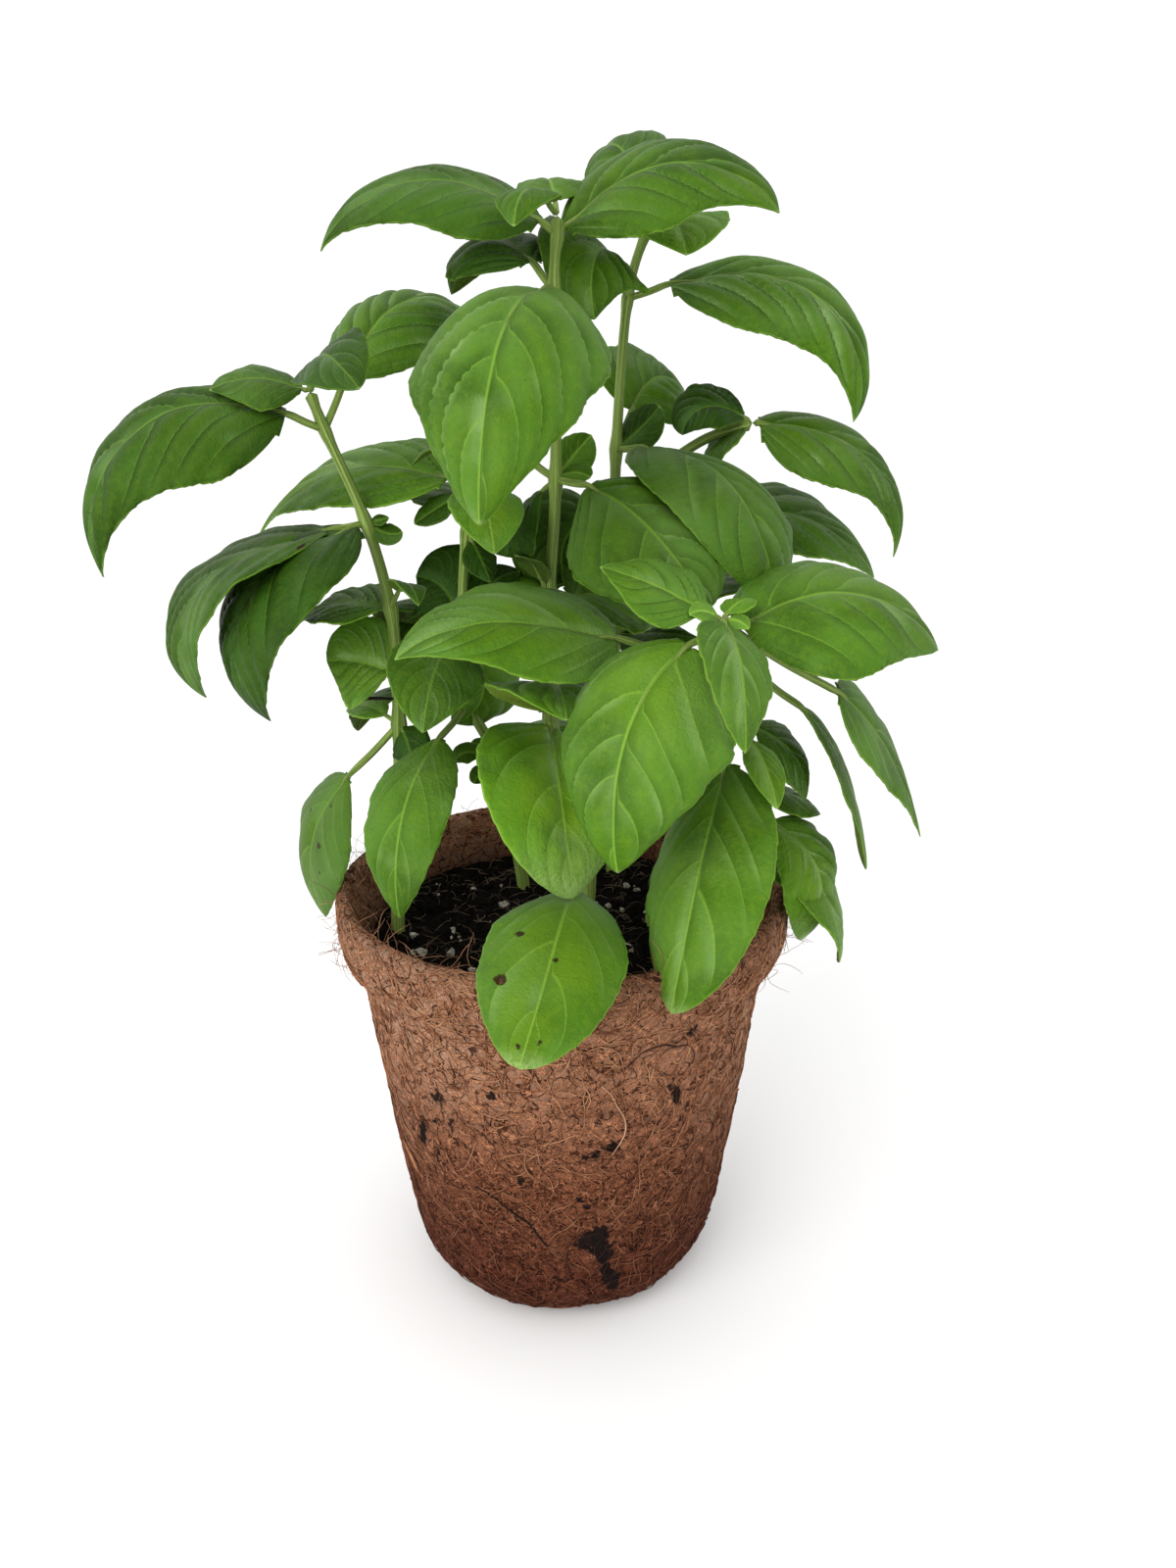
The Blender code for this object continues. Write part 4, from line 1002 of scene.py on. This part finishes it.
def pot_tone(place, inner=False):
    """Stain, painted shade inside and on the lip's top, darkening towards the foot, and painted
    light high on the left and at the sides, as a colour.
    """
    if inner:
        stain = 0.0
        # Painted shade, deeper inside the pot.
        inside = part_of(PAINTED_SHADE_INSIDE - place.z, INSIDE_FADE)
    else:
        stain = staining(place)
        # Painted shade on the top of the lip.
        inside = LIP_SHADE * part_of(place.z - LIP_EDGE, LIP_FADE)
    # Darker towards the foot: partly painted shade, partly darker staining.
    low = part_of(DARK_FOOT - place.z, FOOT_FADE)
    # Painted light: higher on the wall, stronger towards the left, and at the sides.
    high = part_of(place.z - PAINTED_LIGHT_FROM, TOP_FADE)
    high = high * min(1.0, max(0.5, 0.5 - place.x / SHADY_SIDE))
    sideways = abs(place.x) / max(0.01, math.hypot(place.x, place.y))
    side = part_of(sideways - SIDE_START, SIDE_REACH)
    high = max(high, PAINTED_SIDE_LIGHT * side * part_of(place.z - SIDE_FOOT, SIDE_FADE))
    return (stain, inside, low, high)


def no_tone(_):
    """The tone of a place with no stain, shade or bleaching."""
    return (0.0, 0.0, 0.0, 1.0)


def make_pot(wall):
    """The felt wall: the profile spun round, lumped, with a fine rough skin."""
    bm = bmesh.new()
    tone = bm.verts.layers.float_color.new("tone")
    verts = [bm.verts.new(place) for place in wall.line]
    edges = [bm.edges.new(pair) for pair in zip(verts, verts[1:])]
    for i, v in enumerate(verts):
        v[tone] = (0.0, 1.0 if i < wall.lip else 0.0, 0.0, 1.0)
    bmesh.ops.spin(bm, geom=verts + edges, cent=(0, 0, 0), axis=(0, 0, 1),
                   angle=2 * math.pi, steps=POT_SPINS, use_merge=True)
    bmesh.ops.remove_doubles(bm, verts=bm.verts, dist=MERGE * MM)
    for v in bm.verts:
        inner = v[tone][1] > 0.5
        if v.co.z > FOOT_Z * MM and v.co.xy.length > FLOOR_R:
            flat = Vector((v.co.x, v.co.y, 0.0)).normalized()
            if not inner:
                v.co = lumped(v.co)
            for span, depth in POT_ROUGH:
                v.co += flat * noise.noise(v.co / (span * MM)) * depth * MM
        v.co.z = max(v.co.z, 0.0)
        v[tone] = pot_tone(v.co, inner)
    bmesh.ops.recalc_face_normals(bm, faces=bm.faces)
    new_piece("pot_wall", bm, "coir_pot", "coir", coir_wall())


def on_wall(wall, angle, height, lift):
    """A place off the pot's outer wall, from its angle round the pot, height and lift in mm."""
    place = next(p for p in wall.line[wall.lip:] if p.z <= height * MM)
    a = math.radians(angle)
    turned = lumped(Vector((place.x * math.cos(a), place.x * math.sin(a), height * MM)))
    return turned + Vector((math.cos(a), math.sin(a), 0.0)) * lift * MM


def lay_strand(rng, wall, run, angle, heading, length, steps, lift):
    """A fibre over the wall: it wanders as it goes, and bows out a little between its ends."""
    points = []
    bow = lift * rng.uniform(LOWEST_BOW, 1.0)
    turn = rng.gauss(0.0, STRAND_CURL)
    for i in range(steps + 1):
        run = min(max(run, wall.runs[wall.lip] - STRAND_TOP), wall.runs[-1] - STRAND_FOOT)
        place, out = wall.at(run)
        place = place + out * (STRAND_CLEAR + bow * math.sin(math.pi * i / steps) * MM)
        radius = max(place.x, STRAND_R)
        turned = Vector((place.x * math.cos(angle), place.x * math.sin(angle), place.z))
        if run > wall.runs[wall.lip] and place.z > FOOT_Z * MM:
            turned = lumped(turned)
        turned.z = max(turned.z, FOOT_CLEAR * MM)
        points.append(turned)
        heading += turn + rng.gauss(0.0, STRAND_STRAY)
        angle += math.cos(heading) * length / steps / radius
        run += math.sin(heading) * length / steps
    return points


def stray_vector(rng, size):
    return Vector((rng.gauss(0, size), rng.gauss(0, size), rng.gauss(0, size)))


def lip_strand(rng, wall, length, steps):
    """A loose fibre that stands off the lip and curls away."""
    angle = rng.uniform(-math.pi, math.pi)
    run = wall.runs[wall.lip] + rng.uniform(*FUZZ_RUN)
    place, out = wall.at(run)
    spin = Vector((math.cos(angle), math.sin(angle), 0.0))
    at = lumped(Vector((place.x * spin.x, place.x * spin.y, place.z)))
    way = Vector((out.x * spin.x, out.x * spin.y, out.z))
    tangent = Vector((-spin.y, spin.x, 0.0)) * rng.choice((-1.0, 1.0))
    way = (way * rng.uniform(*FUZZ_OUT) + tangent * rng.uniform(*FUZZ_ALONG)
           + Vector((0, 0, rng.uniform(*FUZZ_RISE)))).normalized()
    curl = stray_vector(rng, 1) * FUZZ_CURL - spin * FUZZ_INWARD
    points = []
    for _ in range(steps + 1):
        points.append(at.copy())
        at += way * length / steps
        way = way + curl + stray_vector(rng, FUZZ_STRAY)
        way.normalize()
    return points


def fibre_piece(name, strands, radius, node, slot, material, tone_of=no_tone):
    """Strands as one piece: a bevelled curve made a mesh."""
    curve = bpy.data.curves.new(name, "CURVE")
    curve.dimensions = "3D"
    curve.bevel_depth = radius * MM
    curve.bevel_resolution = 0
    curve.use_fill_caps = True
    for points in strands:
        line = curve.splines.new("POLY")
        line.points.add(len(points) - 1)
        last = len(points) - 1
        for i, (point, at) in enumerate(zip(line.points, points)):
            point.co = (*at, 1.0)
            bulge = math.sin(math.pi * (END_RUN + MIDDLE_RUN * i / last))
            point.radius = THIN_END + (1.0 - THIN_END) * bulge
    holder = placed(name, curve)
    graph = bpy.context.evaluated_depsgraph_get()
    mesh = bpy.data.meshes.new_from_object(holder.evaluated_get(graph))
    bpy.data.objects.remove(holder, do_unlink=True)
    bm = bmesh.new()
    bm.from_mesh(mesh)
    tone = bm.verts.layers.float_color.new("tone")
    bmesh.ops.remove_doubles(bm, verts=bm.verts, dist=FIBRE_MERGE * MM)
    for v in bm.verts:
        v[tone] = tone_of(v.co)
    new_piece(name, bm, node, slot, material)


def make_fibres(wall):
    """The fibres that show on the pot's skin, and the loose ones at its lip."""
    rng = random.Random(FIBRE_SEED)
    lip = wall.runs[wall.lip]
    low_run, high_run = lip - FIBRE_TOP, wall.runs[-1] - FIBRE_FOOT
    for name, count, radius, longest, by_lip, dark, light in FIBRES:
        strands = []
        for _ in range(count):
            band = by_lip and rng.random() < by_lip
            run = rng.uniform(low_run, lip + BAND_REACH if band else high_run)
            heading = rng.uniform(-math.pi, math.pi)
            if run < lip + LIP_REACH:
                heading = rng.choice((0.0, math.pi)) + rng.gauss(0.0, LEVEL_STRAY)
            length = rng.uniform(FIBRE_SHORTEST, longest) * MM
            strands.append(lay_strand(rng, wall, run, rng.uniform(-math.pi, math.pi), heading,
                                      length, FIBRE_STEPS, FIBRE_LIFT))
        fibre_piece(name, strands, radius, "coir_pot", "coir", fibre(name, dark, light), pot_tone)
    fuzz = [lip_strand(rng, wall, rng.uniform(*FUZZ_LENGTH) * MM, FUZZ_STEPS)
            for _ in range(FUZZ_COUNT)]
    material = fibre("lip_fuzz", *FUZZ_BROWNS)
    fibre_piece("lip_fuzz", fuzz, FUZZ_R, "coir_pot", "coir", material, pot_tone)


def make_marks(wall):
    """The crack, the two loose fibres and the tuft that stand out on the pot's wall."""
    for name, radius, lift, dark, light, lines in MARKS:
        strands = [smooth_line([on_wall(wall, a, z, lift) for a, z in line], MARK_SPAN * MM)
                   for line in lines]
        fibre_piece(name, strands, radius, "coir_pot", "coir", fibre(name, dark, light))


def make_twig():
    """A dark broken twig end on the left stem."""
    material = fibre("dark_twig", *TWIG_BROWNS)
    line = [Vector(place) * MM for place in TWIG]
    fibre_piece("dark_twig", [line], TWIG_R, "leafy_stem_left", "basil", material)


# Soil


def soil_height(x, y):
    """Height of the soil's top at a place, in metres."""
    reach = math.hypot(x, y) / MM
    inward = 1.0 - reach / SOIL_EDGE
    place = Vector((x, y, SOIL_TOP_Z * MM))
    even = min(1.0, RIM_LUMP + LUMP_GROWTH * inward)
    lump = noise.noise(place / SOIL_LUMP_SPAN) * SOIL_LUMP * even
    clod = sum(noise.noise(place / (span * MM)) * height for span, height in SOIL_CLODS)
    return (SOIL_TOP_Z + lump + clod - SOIL_DIP * inward) * MM


def make_soil():
    """A disc of soil with a crumbly top, closed below."""
    bm = bmesh.new()
    bmesh.ops.create_circle(bm, cap_ends=True, segments=SOIL_SIDES, radius=SOIL_EDGE * MM)
    for _ in range(SOIL_RINGS):
        face = max(bm.faces, key=lambda f: len(f.verts))
        bmesh.ops.inset_region(bm, faces=[face], thickness=RING_STEP * MM, use_boundary=True)
    for v in bm.verts:
        v.co.z = soil_height(v.co.x, v.co.y)
    rim = [e for e in bm.edges if e.is_boundary]
    low = bmesh.ops.extrude_edge_only(bm, edges=rim)["geom"]
    ring = [g for g in low if isinstance(g, bmesh.types.BMVert)]
    for v in ring:
        v.co.z = (SOIL_TOP_Z - SOIL_DEPTH) * MM
        v.co.xy *= SOIL_TAPER
    bmesh.ops.contextual_create(bm, geom=[e for e in bm.edges if e.is_boundary])
    bmesh.ops.recalc_face_normals(bm, faces=bm.faces)
    new_piece("soil_top", bm, "potting_soil", "soil", soil_crumb())


def soil_spot(rng, edge):
    """A random place on the soil as reach and angle, at least edge mm inside its rim."""
    reach = (SOIL_EDGE - edge) * MM * math.sqrt(rng.random())
    angle = rng.uniform(-math.pi, math.pi)
    return reach, angle


def scatter(rng, count, sizes, subdivisions, heaps=()):
    """Small rough lumps strewn on the soil and in heaps (x, y, spread, count), as one mesh."""
    bm = bmesh.new()
    places = []
    for _ in range(count):
        reach, angle = soil_spot(rng, LUMP_EDGE)
        places.append((reach * math.cos(angle), reach * math.sin(angle)))
    for x, y, spread, heaped in heaps:
        places += [(rng.gauss(x, spread) * MM, rng.gauss(y, spread) * MM)
                   for _ in range(heaped)]
    for x, y in places:
        size = rng.uniform(*sizes) * rng.uniform(*SIZE_SPREAD) * MM
        stretch = Vector((rng.uniform(*LUMP_LONG), rng.uniform(*LUMP_WIDE), LUMP_FLAT))
        made = bmesh.ops.create_icosphere(bm, subdivisions=subdivisions, radius=size / 2)["verts"]
        spin = rng.uniform(0, math.pi)
        c, s = math.cos(spin), math.sin(spin)
        for v in made:
            rough = noise.noise(v.co / size * LUMP_GRAIN + Vector((x, y, 0)) / MM)
            p = v.co * (1.0 + LUMP_ROUGH * rough) * stretch
            v.co = Vector((p.x * c - p.y * s, p.x * s + p.y * c, p.z))
            v.co += Vector((x, y, soil_height(x, y) + size * LUMP_RISE))
    return bm


def lay_root(rng):
    """A fine root that wanders over the soil and ends at the pot's wall."""
    reach, angle = soil_spot(rng, ROOT_EDGE)
    heading = rng.uniform(-math.pi, math.pi)
    x, y = reach * math.cos(angle), reach * math.sin(angle)
    turn, length = rng.gauss(0.0, ROOT_CURL), rng.uniform(*ROOT_LENGTH) * MM
    points = []
    for i in range(ROOT_STEPS + 1):
        lift = ROOT_LIFT + ROOT_ARCH * math.sin(math.pi * i / ROOT_STEPS)
        points.append(Vector((x, y, soil_height(x, y) + lift * MM)))
        heading += turn + rng.gauss(0.0, ROOT_STRAY)
        x += math.cos(heading) * length / ROOT_STEPS
        y += math.sin(heading) * length / ROOT_STEPS
        if math.hypot(x, y) > (SOIL_EDGE - ROOT_END_EDGE) * MM:
            break
    return points


def make_soil_cover():
    """Crumbs, perlite and fine roots on the soil."""
    rng = random.Random(SOIL_SEED)
    node, slot = "potting_soil", "soil"
    new_piece("soil_crumbs", scatter(rng, CRUMBS, CRUMB_SIZES, 1), node, slot, soil_crumb(),
              smooth=False)
    new_piece("perlite", scatter(rng, PERLITE, PERLITE_SIZES, 2, PERLITE_HEAPS), node, slot,
              perlite_grain(), smooth=False)
    roots = [line for line in (lay_root(rng) for _ in range(ROOTS)) if len(line) > 2]
    fibre_piece("fine_roots", roots, ROOT_R, node, slot, fibre("fine_root", *ROOT_BROWNS))


# Scene


def make_camera():
    data = bpy.data.cameras.new("camera")
    data.lens = LENS
    data.sensor_width = SENSOR
    camera = placed("camera", data)
    camera.location = CAMERA_PLACE
    camera.rotation_euler = (math.radians(90.0 - CAMERA_TILT), 0.0, 0.0)
    bpy.context.scene.camera = camera


def make_light(name, place, size, power, colour):
    """A square soft light that faces the middle of the plant."""
    data = bpy.data.lights.new(name, "AREA")
    data.size = size
    data.energy = power
    data.color = colour
    light = placed(name, data)
    light.location = place
    aim = Vector(LIGHT_AIM) - Vector(place)
    light.rotation_euler = aim.to_track_quat("-Z", "Y").to_euler()


def make_studio():
    scene = bpy.context.scene
    scene.world = bpy.data.worlds.new("studio")
    scene.world.use_nodes = True
    sky = scene.world.node_tree.nodes["Background"]
    sky.inputs["Color"].default_value = (1.0, 1.0, 1.0, 1.0)
    sky.inputs["Strength"].default_value = SKY_STRENGTH
    scene.view_settings.view_transform = "Standard"
    make_light("key", KEY_PLACE, KEY_SIZE, KEY_POWER, KEY_COLOUR)
    bm = bmesh.new()
    bmesh.ops.create_grid(bm, x_segments=1, y_segments=1, size=FLOOR_SIZE)
    finish = Finish("floor_paint")
    paint = finish.paint(Base_Color=FLOOR_WHITE, Roughness=0.95)
    mesh_object("floor", bm, paint)


def main():
    make_camera()
    make_studio()
    wall = Wall()
    make_pot(wall)
    make_fibres(wall)
    make_marks(wall)
    make_twig()
    make_soil()
    make_soil_cover()
    blade_materials = (blade_top(), blade_under())
    skin = stem_skin()
    for node, (joints, branch, leaves) in LEAVES.items():
        make_leafy_stem(node, joints, branch, leaves, blade_materials, skin)


main()
